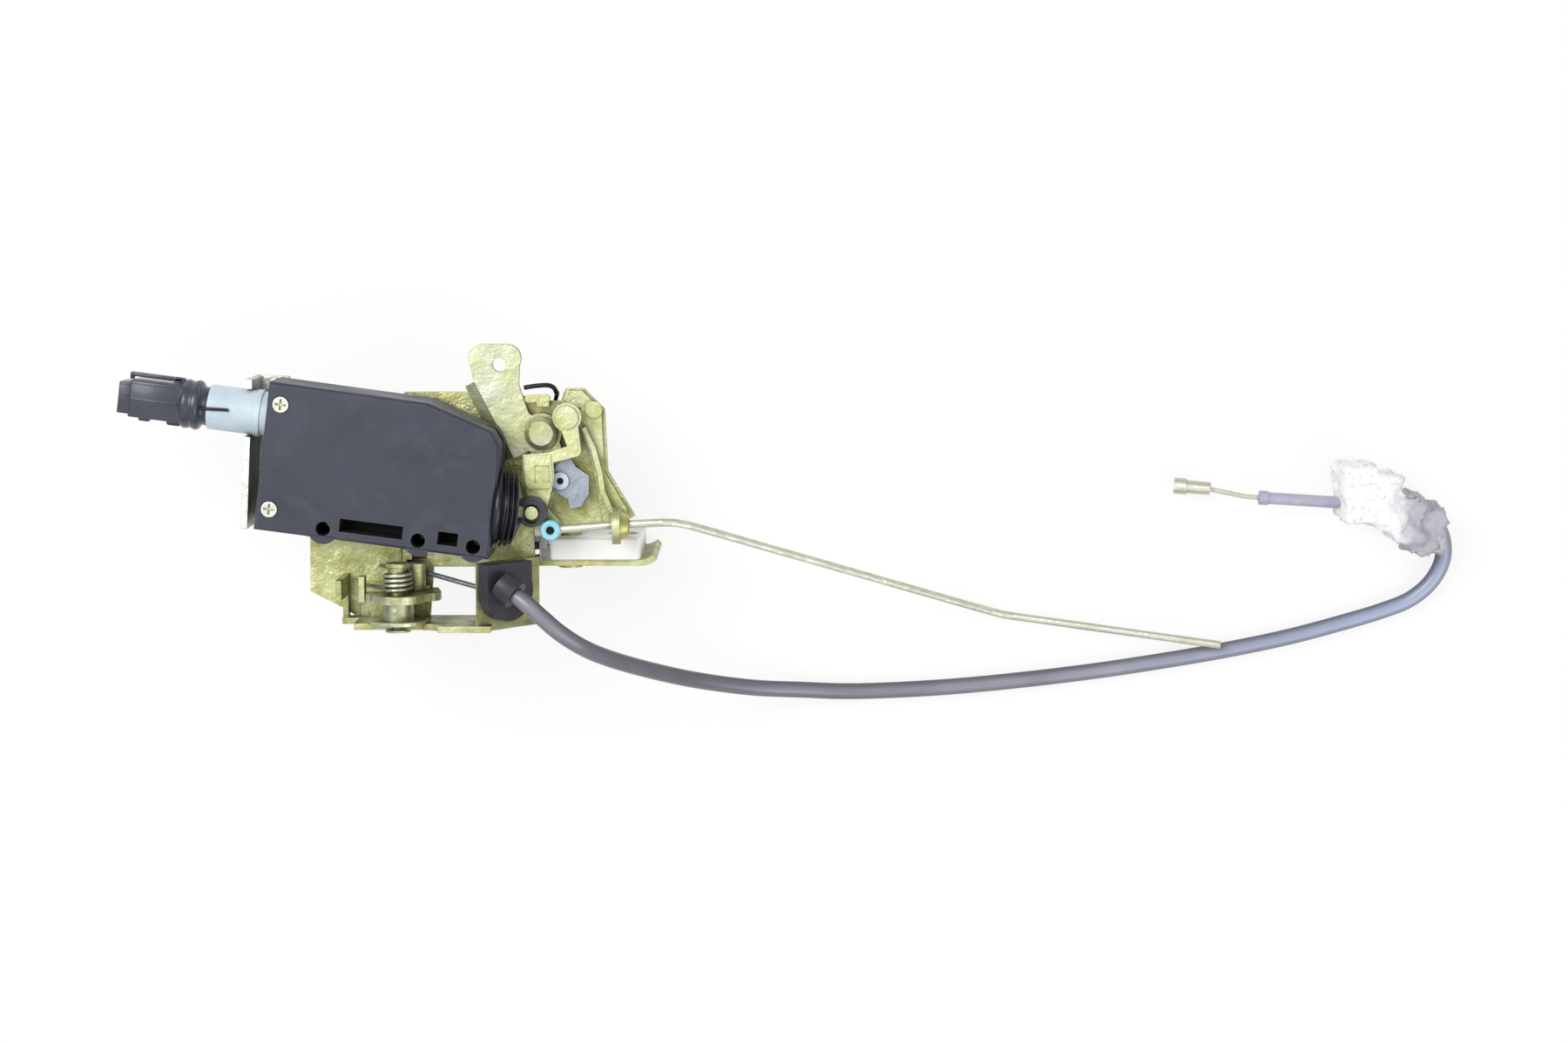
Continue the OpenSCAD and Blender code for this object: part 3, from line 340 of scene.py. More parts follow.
COATS: dict[Finish, Coat] = {
    Finish.ZINC: replace(
        plated("#e6e9b6", "#b7b970", "#665f14", "#f7f8e0", "zinc", 0.35), slope_shade=0.8
    ),
    Finish.PLATE: replace(
        plated("#e2e5b0", "#b0b26a", "#6b6420", "#f7f8e0", "zinc", 0.38),
        # The near-white second tone towards the plate's left end is a painted highlight.
        cloudy=0.9, patch=130.0, bloom="#f1f8f8", bloomed=0.9, span=(-0.062, -0.070),
    ),
    Finish.ZINC_PALE: replace(
        plated("#d9dcb6", "#bfc28a", "#6a5c12", "#f6f6e6", "zinc", 0.3), slope_shade=0.95
    ),
    Finish.ZINC_OLIVE: plated("#dadca4", "#8b8a4a", "#4b4618", "#f8f8e2", "zinc", 0.5),
    Finish.ZINC_DARK: replace(
        plated("#cbc87e", "#a09a50", "#5c561f", "#e8e6b6", "zinc_dark", 0.25),
        bloomed=0.15, slope_shade=0.2,
    ),
    Finish.ROD: plated("#edece0", "#cfccb2", "#9b9568", "#fbfaf4", "zinc", 0.3),
    Finish.COIL: plated("#d8d8c4", "#9c997f", "#605d48", "#f6f5ea", "spring_steel", 0.4),
    Finish.STEEL: plated("#9a9a9c", "#6d6c6c", "#565457", "#c6c6c8", "steel", 0.4),
    Finish.BRIGHT: plated("#b6bfcb", "#858c99", "#5e6472", "#f6f8fa", "steel_bright", 0.5),
    Finish.SPRING: replace(
        plated("#303033", "#202022", "#171718", "#6d6d70", "spring_steel", 0.3), bloomed=0.0
    ),
    Finish.BRASS: plated("#cdb27a", "#94793f", "#6b5528", "#e6d6a6", "brass", 0.3),
    Finish.NYLON: moulded("#fdfdfa", "#f1f1ee", "#ffffff", "nylon"),
    Finish.SLEEVE: moulded("#cbd9e2", "#a9bccb", "#eef4f7", "nylon"),
    Finish.SLATE: Coat(
        "#383b49", "#2f313d", "#484b5a", "#7b7e8c", "slate_plastic", rough=(0.38, 0.56),
        patch=38.0, cloudy=0.8, stained=0.5, grain=5200.0, relief=0.00002, round_off=0.0004,
        wear_and_highlight=0.6, corner_shade=0.2,
    ),
    Finish.PLUG: moulded("#454855", "#30323d", "#9a9dab", "slate_plastic", (0.14, 0.3)),
    Finish.RECESS_SHADE: moulded("#050506", "#030303", "#0a0a0c", "rubber", (0.8, 0.9)),
    Finish.CLIP: moulded("#9ddcec", "#74c4dc", "#d4f3f9", "clip_blue", (0.25, 0.4)),
    Finish.RUBBER: moulded("#393944", "#26262e", "#6c6d79", "rubber", (0.35, 0.6)),
    Finish.BOOT: moulded("#25252c", "#17171b", "#6a6b76", "rubber", (0.14, 0.3)),
    Finish.SHEATH: Coat(
        "#96959f", "#726b78", "#2f2a34", "#b4b7c8", "sheath", rough=(0.14, 0.26), patch=11.0,
        cloudy=0.8, stained=0.15, grain=3600.0, relief=0.000008, wear_and_highlight=0.0, corner_shade=0.3, slope_shade=0.85,
        bloom="#a3aec8", bloomed=0.9, span=(0.17, 0.30),
    ),
    Finish.TUBE: moulded("#b4b1c4", "#9c98ae", "#d8d6e2", "sheath", (0.25, 0.4)),
    Finish.FOAM: Coat(
        "#fafafa", "#ebeaee", "#a9a7b8", "#ffffff", "foam", rough=(0.5, 0.8), patch=230.0,
        cloudy=0.6, stained=0.7, grain=1100.0, relief=0.0003, round_off=0.0008, wear_and_highlight=0.2,
        # The grey second tone on the wrap's right end is painted shade.
        corner_shade=0.6, bloom="#a5a3ae", bloomed=0.85, span=(0.2955, 0.3025),
    ),
    Finish.ACETAL: moulded("#e8e4d6", "#d2ccb8", "#f6f4ea", "gear_plastic"),
}


@dataclass
class Effects:
    """Shader node groups that several finishes share, each built once.

    Attributes:
        made: The groups that are built, by name.
        cloud_detail: Octaves of the cloudy patches.
        cloud_rough: Strength of their finer octaves.
        grain_detail: Octaves of the fine relief.
        edge_dot: Rounded normal against flat normal where an edge begins and where it is full.
        corner_sky: Open share of the surroundings where a corner begins and where it is full.
    """

    made: dict[str, bpy.types.NodeTree] = field(default_factory=dict)
    cloud_detail: float = 4.0
    cloud_rough: float = 0.62
    grain_detail: float = 2.0
    edge_dot: Pair = (0.99, 0.85)
    corner_sky: Pair = (0.75, 0.15)

    def _tree(
        self, name: str, inputs: Iterable[tuple[str, float]], output: str
    ) -> tuple[bpy.types.NodeTree, bpy.types.Node, bpy.types.Node]:
        """Make an empty group with its sockets.

        Args:
            name: The group's name.
            inputs: Names and default values of the number sockets.
            output: Name of the number socket that comes out.

        Returns:
            The tree, its input node and its output node.
        """
        tree = bpy.data.node_groups.new(name, "ShaderNodeTree")
        for label, value in inputs:
            sock = tree.interface.new_socket(label, in_out="INPUT", socket_type="NodeSocketFloat")
            sock.default_value = value
        tree.interface.new_socket(output, in_out="OUTPUT", socket_type="NodeSocketFloat")
        self.made[name] = tree
        return tree, tree.nodes.new("NodeGroupInput"), tree.nodes.new("NodeGroupOutput")

    def _noise(self, tree: bpy.types.NodeTree, scale: bpy.types.NodeSocket) -> bpy.types.Node:
        """Add a noise that lies still on the piece.

        Args:
            tree: The group that gets it.
            scale: Where its scale comes from.

        Returns:
            The noise node.
        """
        where = tree.nodes.new("ShaderNodeTexCoord")
        made = tree.nodes.new("ShaderNodeTexNoise")
        tree.links.new(where.outputs["Object"], made.inputs["Vector"])
        tree.links.new(scale, made.inputs["Scale"])
        return made

    def _part(self, tree: bpy.types.NodeTree, source: str, letter: str) -> bpy.types.NodeSocket:
        """Take one number out of a place or a direction.

        Args:
            tree: The group that gets the nodes.
            source: Texture coordinate that is read.
            letter: Which of its three numbers.

        Returns:
            The number's socket.
        """
        where = tree.nodes.new("ShaderNodeTexCoord")
        part = tree.nodes.new("ShaderNodeSeparateXYZ")
        tree.links.new(where.outputs[source], part.inputs["Vector"])
        return part.outputs[letter]

    def patches(self) -> bpy.types.NodeTree:
        """Make cloudy patches, from 0 to 1, between a low and a high threshold.

        Returns:
            The group.
        """
        if "patches" in self.made:
            return self.made["patches"]
        sockets = [("Scale", 80.0), ("Low", 0.36), ("High", 0.66)]
        tree, given, result = self._tree("patches", sockets, "Mask")
        link = tree.links.new
        cloud = self._noise(tree, given.outputs["Scale"])
        cloud.inputs["Detail"].default_value = self.cloud_detail
        cloud.inputs["Roughness"].default_value = self.cloud_rough
        ramp = tree.nodes.new("ShaderNodeMapRange")
        link(given.outputs["Low"], ramp.inputs["From Min"])
        link(given.outputs["High"], ramp.inputs["From Max"])
        link(cloud.outputs["Fac"], ramp.inputs["Value"])
        link(ramp.outputs["Result"], result.inputs["Mask"])
        return tree

    def grain(self) -> bpy.types.NodeTree:
        """Make the fine relief, from 0 to 1.

        Returns:
            The group.
        """
        if "grain" in self.made:
            return self.made["grain"]
        tree, given, result = self._tree("grain", [("Scale", 2500.0)], "Height")
        fine = self._noise(tree, given.outputs["Scale"])
        fine.inputs["Detail"].default_value = self.grain_detail
        tree.links.new(fine.outputs["Fac"], result.inputs["Height"])
        return tree

    def edges(self) -> bpy.types.NodeTree:
        """Mark the edges, where a rounded normal leaves the flat one; the colour laid there is
        wear and painted highlight.

        Returns:
            The group.
        """
        if "edges" in self.made:
            return self.made["edges"]
        sockets = [("Radius", 0.0005), ("Break Up", 300.0)]
        tree, given, result = self._tree("edges", sockets, "Mask")
        link = tree.links.new
        soft = tree.nodes.new("ShaderNodeBevel")
        soft.samples = FEELERS
        link(given.outputs["Radius"], soft.inputs["Radius"])
        flat = tree.nodes.new("ShaderNodeNewGeometry")
        dot = tree.nodes.new("ShaderNodeVectorMath")
        dot.operation = "DOT_PRODUCT"
        link(soft.outputs["Normal"], dot.inputs[0])
        link(flat.outputs["Normal"], dot.inputs[1])
        turn = tree.nodes.new("ShaderNodeMapRange")
        begins, full = self.edge_dot
        turn.inputs["From Min"].default_value = begins
        turn.inputs["From Max"].default_value = full
        link(dot.outputs["Value"], turn.inputs["Value"])
        rag = self._noise(tree, given.outputs["Break Up"])
        part = tree.nodes.new("ShaderNodeMath")
        part.operation = "MULTIPLY"
        link(turn.outputs["Result"], part.inputs[0])
        link(rag.outputs["Fac"], part.inputs[1])
        link(part.outputs["Value"], result.inputs["Mask"])
        return tree

    def shaded_slopes(self) -> bpy.types.NodeTree:
        """Mark the faces that stand up from the plan, where shade is painted.

        Returns:
            The group.
        """
        if "shaded_slopes" in self.made:
            return self.made["shaded_slopes"]
        tree, given, result = self._tree("shaded_slopes", [("Flat", 0.97), ("Upright", 0.35)], "Mask")
        link = tree.links.new
        turn = tree.nodes.new("ShaderNodeMapRange")
        link(self._part(tree, "Normal", "Z"), turn.inputs["Value"])
        link(given.outputs["Flat"], turn.inputs["From Min"])
        link(given.outputs["Upright"], turn.inputs["From Max"])
        link(turn.outputs["Result"], result.inputs["Mask"])
        return tree

    def along(self) -> bpy.types.NodeTree:
        """Make a mask that grows along the latch's length.

        Returns:
            The group.
        """
        if "along" in self.made:
            return self.made["along"]
        tree, given, result = self._tree("along", [("Start", 0.0), ("End", 0.1)], "Mask")
        link = tree.links.new
        turn = tree.nodes.new("ShaderNodeMapRange")
        link(self._part(tree, "Object", "X"), turn.inputs["Value"])
        link(given.outputs["Start"], turn.inputs["From Min"])
        link(given.outputs["End"], turn.inputs["From Max"])
        link(turn.outputs["Result"], result.inputs["Mask"])
        return tree

    def corners(self) -> bpy.types.NodeTree:
        """Mark the corners, where shade is painted.

        Returns:
            The group.
        """
        if "corners" in self.made:
            return self.made["corners"]
        tree, given, result = self._tree("corners", [("Reach", 0.004)], "Mask")
        link = tree.links.new
        near = tree.nodes.new("ShaderNodeAmbientOcclusion")
        near.samples = FEELERS
        link(given.outputs["Reach"], near.inputs["Distance"])
        turn = tree.nodes.new("ShaderNodeMapRange")
        begins, full = self.corner_sky
        turn.inputs["From Min"].default_value = begins
        turn.inputs["From Max"].default_value = full
        link(near.outputs["AO"], turn.inputs["Value"])
        link(turn.outputs["Result"], result.inputs["Mask"])
        return tree


@dataclass
class Palette:
    """Places and joins nodes in one material.

    Attributes:
        tree: The material's nodes.
    """

    tree: bpy.types.NodeTree

    def group(self, effect: bpy.types.NodeTree, **values: float) -> bpy.types.Node:
        """Place one of the shared effects.

        Args:
            effect: The group.
            values: The material's own values for its sockets.

        Returns:
            The node.
        """
        node = self.tree.nodes.new("ShaderNodeGroup")
        node.node_tree = effect
        for label, value in values.items():
            node.inputs[label].default_value = value
        return node

    def lay(
        self, under: bpy.types.NodeSocket | str, code: str, effect: bpy.types.Node, amount: float
    ) -> bpy.types.NodeSocket:
        """Lay a colour over what is there, as far as an effect's mask reaches.

        Args:
            under: What is there: a colour socket, or the code of a plain colour.
            code: Code of the colour that is laid over it.
            effect: Node with the mask.
            amount: How much of the mask counts.

        Returns:
            The mixed colour.
        """
        share = self.tree.nodes.new("ShaderNodeMath")
        share.operation = "MULTIPLY"
        self.tree.links.new(effect.outputs["Mask"], share.inputs[0])
        share.inputs[1].default_value = amount
        mix = self.tree.nodes.new("ShaderNodeMix")
        mix.data_type = "RGBA"
        self.tree.links.new(share.outputs["Value"], mix.inputs["Factor"])
        if isinstance(under, str):
            mix.inputs[MIX_LOW].default_value = tint(under)
        else:
            self.tree.links.new(under, mix.inputs[MIX_LOW])
        mix.inputs[MIX_HIGH].default_value = tint(code)
        return mix.outputs[MIX_RESULT]


@dataclass
class FinishBook:
    """Makes each finish's material once.

    Attributes:
        effects: The shared node groups.
        made: The materials that are made.
        edge_reach: How far the edge colour, wear and painted highlight, runs in from an edge, in
            radii of that edge.
        corner_reach: How far the painted shade reaches out of a corner, in metres.
        stain_band: Thresholds of the stains.
        bloom_size: How fine the second tone is against the patches.
        bloom_band: Thresholds of the second tone.
        dent_size: How fine the unevenness is against the patches.
        dent_band: Thresholds of the unevenness.
    """

    effects: Effects = field(default_factory=Effects)
    made: dict[Finish, bpy.types.Material] = field(default_factory=dict)
    edge_reach: float = 1.6
    corner_reach: float = 0.006
    stain_band: Pair = (0.52, 0.74)
    bloom_size: float = 0.6
    bloom_band: Pair = (0.5, 0.68)
    dent_size: float = 2.0
    dent_band: Pair = (0.3, 0.7)

    def get(self, finish: Finish) -> bpy.types.Material:
        """Find the finish's material, and make it the first time.

        Args:
            finish: Which finish.

        Returns:
            The material.
        """
        if finish not in self.made:
            self.made[finish] = self._make(finish, COATS[finish])
        return self.made[finish]

    def _make(self, finish: Finish, coat: Coat) -> bpy.types.Material:
        """Build the material of one finish.

        Args:
            finish: Which finish.
            coat: How it looks.

        Returns:
            The material.
        """
        mat = bpy.data.materials.new(finish.value)
        mat.use_nodes = True
        link = mat.node_tree.links.new
        palette = Palette(mat.node_tree)
        shader = mat.node_tree.nodes["Principled BSDF"]
        shader.inputs["Metallic"].default_value = coat.metallic
        cloud = palette.group(self.effects.patches(), Scale=coat.patch)
        link(self._colour(palette, coat, cloud), shader.inputs["Base Color"])
        gloss = mat.node_tree.nodes.new("ShaderNodeMapRange")
        smoothest, roughest = coat.rough
        gloss.inputs["To Min"].default_value = smoothest
        gloss.inputs["To Max"].default_value = roughest
        link(cloud.outputs["Mask"], gloss.inputs["Value"])
        link(gloss.outputs["Result"], shader.inputs["Roughness"])
        link(self._relief(palette, coat), shader.inputs["Normal"])
        return mat

    def _patches(self, palette: Palette, coat: Coat, size: float, band: Pair) -> bpy.types.Node:
        """Place patches of another size than the coat's own.

        Args:
            palette: The material's nodes.
            coat: How the finish looks.
            size: How fine they are against the coat's patches.
            band: Their thresholds.

        Returns:
            The node.
        """
        low, high = band
        return palette.group(self.effects.patches(), Scale=coat.patch * size, Low=low, High=high)

    def _colour(self, palette: Palette, coat: Coat, cloud: bpy.types.Node) -> bpy.types.NodeSocket:
        """Lay a coat's colours over each other, with painted shade on standing faces and in
        corners, and painted highlight on edges.

        Args:
            palette: The material's nodes.
            coat: How the finish looks.
            cloud: The coat's patches.

        Returns:
            The colour.
        """
        effects = self.effects
        colour = palette.lay(coat.base, coat.shade, cloud, coat.cloudy)
        if coat.bloomed and coat.span[0] != coat.span[1]:
            reach = palette.group(effects.along(), Start=coat.span[0], End=coat.span[1])
            colour = palette.lay(colour, coat.bloom, reach, coat.bloomed)
        elif coat.bloomed:
            bloom = self._patches(palette, coat, self.bloom_size, self.bloom_band)
            colour = palette.lay(colour, coat.bloom, bloom, coat.bloomed)
        spots = self._patches(palette, coat, coat.speckle, self.stain_band)
        colour = palette.lay(colour, coat.stain_and_shade, spots, coat.stained)
        # Painted shade: faces that stand up are darkened.
        if coat.slope_shade:
            colour = palette.lay(colour, coat.stain_and_shade, palette.group(effects.shaded_slopes()), coat.slope_shade)
        # Edge colour: wear, and painted highlight along the edges.
        edge = palette.group(effects.edges(), Radius=coat.round_off * self.edge_reach)
        colour = palette.lay(colour, coat.edge, edge, coat.wear_and_highlight)
        # Painted shade: the corners are darkened.
        corner = palette.group(effects.corners(), Reach=self.corner_reach)
        return palette.lay(colour, coat.stain_and_shade, corner, coat.corner_shade)

    def _relief(self, palette: Palette, coat: Coat) -> bpy.types.NodeSocket:
        """Round the edges and roughen the surface.

        Args:
            palette: The material's nodes.
            coat: How the finish looks.

        Returns:
            The normal.
        """
        nodes, link = palette.tree.nodes, palette.tree.links.new
        soft = nodes.new("ShaderNodeBevel")
        soft.samples = FEELERS
        soft.inputs["Radius"].default_value = coat.round_off
        grain = palette.group(self.effects.grain(), Scale=coat.grain)
        bump = nodes.new("ShaderNodeBump")
        bump.inputs["Distance"].default_value = coat.relief
        link(grain.outputs["Height"], bump.inputs["Height"])
        link(soft.outputs["Normal"], bump.inputs["Normal"])
        if not coat.dents:
            return bump.outputs["Normal"]
        dent = self._patches(palette, coat, self.dent_size, self.dent_band)
        wave = nodes.new("ShaderNodeBump")
        wave.inputs["Distance"].default_value = coat.dents
        link(dent.outputs["Mask"], wave.inputs["Height"])
        link(bump.outputs["Normal"], wave.inputs["Normal"])
        return wave.outputs["Normal"]


@dataclass
class Workshop:
    """Turns meshes and routes into named pieces that ride on the latch.

    Attributes:
        book: The finishes.
        nodes: The frame's own pieces, by name.
        wire_resolution: Bevel resolution of the wires.
    """

    book: FinishBook
    nodes: dict[str, bpy.types.Object]
    wire_resolution: int = 5

    def dress(self, finish: Finish, *names: str) -> None:
        """Give the frame's own pieces their finish.

        Args:
            finish: The finish.
            names: The pieces.
        """
        for name in names:
            obj = self.nodes[name]
            obj.data.materials.clear()
            obj.data.materials.append(self.book.get(finish))
            log.info("dressed %s as %s", name, finish.value)

    def _place(
        self, obj: bpy.types.Object, finish: Finish, body: str, instead_of: Sequence[str]
    ) -> bpy.types.Object:
        """Link and dress a new piece, set it on its body, and hide the pieces that it takes the
        place of.

        Args:
            obj: The piece.
            finish: Its finish.
            body: The body that it rides on.
            instead_of: The frame's pieces that it takes the place of.

        Returns:
            The piece.
        """
        bpy.context.scene.collection.objects.link(obj)
        obj.data.materials.append(self.book.get(finish))
        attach(obj, body)
        if instead_of:
            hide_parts(*instead_of)
        log.info("made %s on %s", obj.name, body)
        return obj

    def mesh(
        self,
        name: str,
        bm: bmesh.types.BMesh,
        finish: Finish,
        body: str = FRAME_BODY,
        instead_of: Sequence[str] = (),
        smooth: bool = True,
    ) -> bpy.types.Object:
        """Make a piece from a bmesh, and free the bmesh.

        Args:
            name: The piece's name.
            bm: Its shape.
            finish: Its finish.
            body: The body that it rides on.
            instead_of: The frame's pieces that it takes the place of.
            smooth: Whether its faces are shaded smooth.

        Returns:
            The piece.
        """
        bmesh.ops.recalc_face_normals(bm, faces=bm.faces)
        data = bpy.data.meshes.new(name)
        bm.to_mesh(data)
        bm.free()
        for poly in data.polygons:
            poly.use_smooth = smooth
        return self._place(bpy.data.objects.new(name, data), finish, body, instead_of)

    def wire(
        self,
        name: str,
        points: Sequence[Vector],
        radius: float,
        finish: Finish,
        body: str = FRAME_BODY,
        instead_of: Sequence[str] = (),
    ) -> bpy.types.Object:
        """Make a round wire or cable.

        Args:
            name: The piece's name.
            points: The middle of the wire, in metres.
            radius: Its radius in metres.
            finish: Its finish.
            body: The body that it rides on.
            instead_of: The frame's pieces that it takes the place of.

        Returns:
            The piece.
        """
        data = bpy.data.curves.new(name, "CURVE")
        data.dimensions = "3D"
        data.bevel_depth = radius
        data.bevel_resolution = self.wire_resolution
        data.use_fill_caps = True
        line = data.splines.new("POLY")
        line.points.add(len(points) - 1)
        for slot, p in zip(line.points, points):
            slot.co = (p[0], p[1], p[2], 1.0)
        line.use_smooth = True
        return self._place(bpy.data.objects.new(name, data), finish, body, instead_of)


@dataclass
class LatchCase:
    """Plates, nylon case and the rotary latch inside.

    Attributes:
        lid: Soft boxes of the lid on the case's end: two corners and the edges' radius.
    """

    lid: tuple[SoftBox, ...] = (
        ((15.6, 17.25, 41.3), (47.7, 24.2, 42.9), 0.75),
        ((29.0, 17.4, 37.0), (47.5, 24.0, 42.2), 1.0),
    )

    def build(self, shop: Workshop) -> None:
        """Dress the case and its mechanism.

        Args:
            shop: The workshop.
        """
        shop.dress(Finish.PLATE, "main_plate", "faceplate", "fork_pin", "pawl_pin", "link_guides")
        shop.dress(Finish.ZINC, "guide_arm")
        shop.dress(Finish.ZINC_DARK, "side_gusset", "back_bracket", "release_link", "guide_bush")
        shop.dress(Finish.NYLON, "latch_case")
        self.case_lid(shop)
        shop.dress(Finish.STEEL, "fork_bolt", "pawl")
        shop.dress(Finish.SPRING, "fork_spring", "pawl_spring")
        shop.dress(Finish.RUBBER, "stop_buffer", "lever_stop")

    def case_lid(self, shop: Workshop) -> None:
        """Lay the rounded nylon lid on the case's end.

        Args:
            shop: The workshop.
        """
        bm = bmesh.new()
        for low, high, soft in self.lid:
            block(bm, spot(*low), spot(*high), soft / MM_PER_M)
        shop.mesh("case_lid", bm, Finish.NYLON)


@dataclass
class Levers:
    """Outside-handle lever, link, lock lever and the lock rod.

    Attributes:
        wire_r: Radius of the lever spring's wire in metres.
        rivet: Top of the link's hollow rivet.
        rivet_hole: Height and radius of the black piece that paints the shade in the rivet's
            hollow.
        clip: Top of the rod's clip.
        clip_rim: Height and radius of the clip's rounded ring.
        clip_hole: Height and radius of the black piece that paints the shade in the ring's hollow.
        pivot: Centre of the lever spring's first turn, under the lever's rivet.
        turn_r: Radius of those turns.
        turn_start: Angle in degrees where they begin.
        turn_count: Steps that they are cut into.
        turn_fall: How far they go down.
        turn_steps: Pieces between two points of the turns.
        hook: Route of the spring's end beside the lever.
        hook_steps: Pieces between two points of that route.
    """

    wire_r: float = 0.00075
    rivet: Point = (22.9, 43.4, 47.6)
    rivet_hole: tuple[Pair, ...] = ((-0.4, 0.1), (0.0, 0.1), (0.0, 1.05), (-0.4, 1.05))
    clip: Point = (20.4, 28.7, 56.6)
    clip_rim: tuple[Pair, ...] = (
        (0.0, 1.6), (1.2, 1.6), (1.75, 1.9), (1.75, 2.7), (1.2, 3.2), (0.0, 3.2),
    )
    clip_hole: tuple[Pair, ...] = ((0.5, 0.1), (1.1, 0.1), (1.1, 1.65), (0.5, 1.65))
    pivot: Point = (16.9, 58.5, 38.4)
    turn_r: float = 5.2
    turn_start: int = 60
    turn_count: int = 36
    turn_fall: float = 4.0
    turn_steps: int = 2
    hook: tuple[Point, ...] = (
        (11.6, 73.2, 46.0), (13.4, 73.5, 46.1), (15.5, 73.8, 46.1), (18.6, 74.0, 46.1),
        (20.4, 73.6, 45.8), (21.4, 72.6, 45.2), (21.7, 71.4, 44.0), (21.7, 71.2, 41.0),
        (21.6, 71.0, 38.6),
    )
    hook_steps: int = 3

    def build(self, shop: Workshop) -> None:
        """Dress the levers and make their small pieces.

        Args:
            shop: The workshop.
        """
        shop.dress(Finish.ZINC_PALE, "outside_lever", "lever_rivet")
        shop.dress(Finish.ZINC, "lock_lever", "lock_pivot")
        shop.dress(Finish.ROD, "lock_rod")
        shop.dress(Finish.SLEEVE, "link_rivet")
        shop.dress(Finish.BRIGHT, "connecting_link")
        shop.dress(Finish.CLIP, "rod_clip")
        self.spring(shop)
        self.eyes(shop)

    def eyes(self, shop: Workshop) -> None:
        """Paint the shade in the rivet's hollow with a black piece, and set the clip's ring with
        its own piece of painted shade.

        Args:
            shop: The workshop.
        """
        for name, finish, body, centre, outline in (
            ("rivet_hollow_shade", Finish.RECESS_SHADE, "handle_lever", self.rivet, self.rivet_hole),
            ("clip_ring", Finish.CLIP, "button_rod", self.clip, self.clip_rim),
            ("clip_hollow_shade", Finish.RECESS_SHADE, "button_rod", self.clip, self.clip_hole),
        ):
            bm = bmesh.new()
            metres = [(h / MM_PER_M, r / MM_PER_M) for h, r in outline]
            turned(bm, metres, spot(*centre), axis=(0.0, 0.0, 1.0))
            shop.mesh(name, bm, finish, body, smooth=finish is Finish.CLIP)

    def spring(self, shop: Workshop) -> None:
        """Wind the black spring, from its hook beside the lever to its turns under the plate.

        Args:
            shop: The workshop.
        """
        x, y, z = self.pivot
        wound = coil(self.turn_r, self.turn_start, self.turn_count, self.turn_fall)
        turns = [(x + u, y + v, z - w) for u, v, w in wound]
        line = [spot(*p) for p in catmull(self.hook, self.hook_steps)]
        line += [spot(*p) for p in catmull(turns, self.turn_steps)]
        shop.wire(
            "lever_spring_wire", line, self.wire_r, Finish.SPRING, instead_of=["lever_spring"]
        )


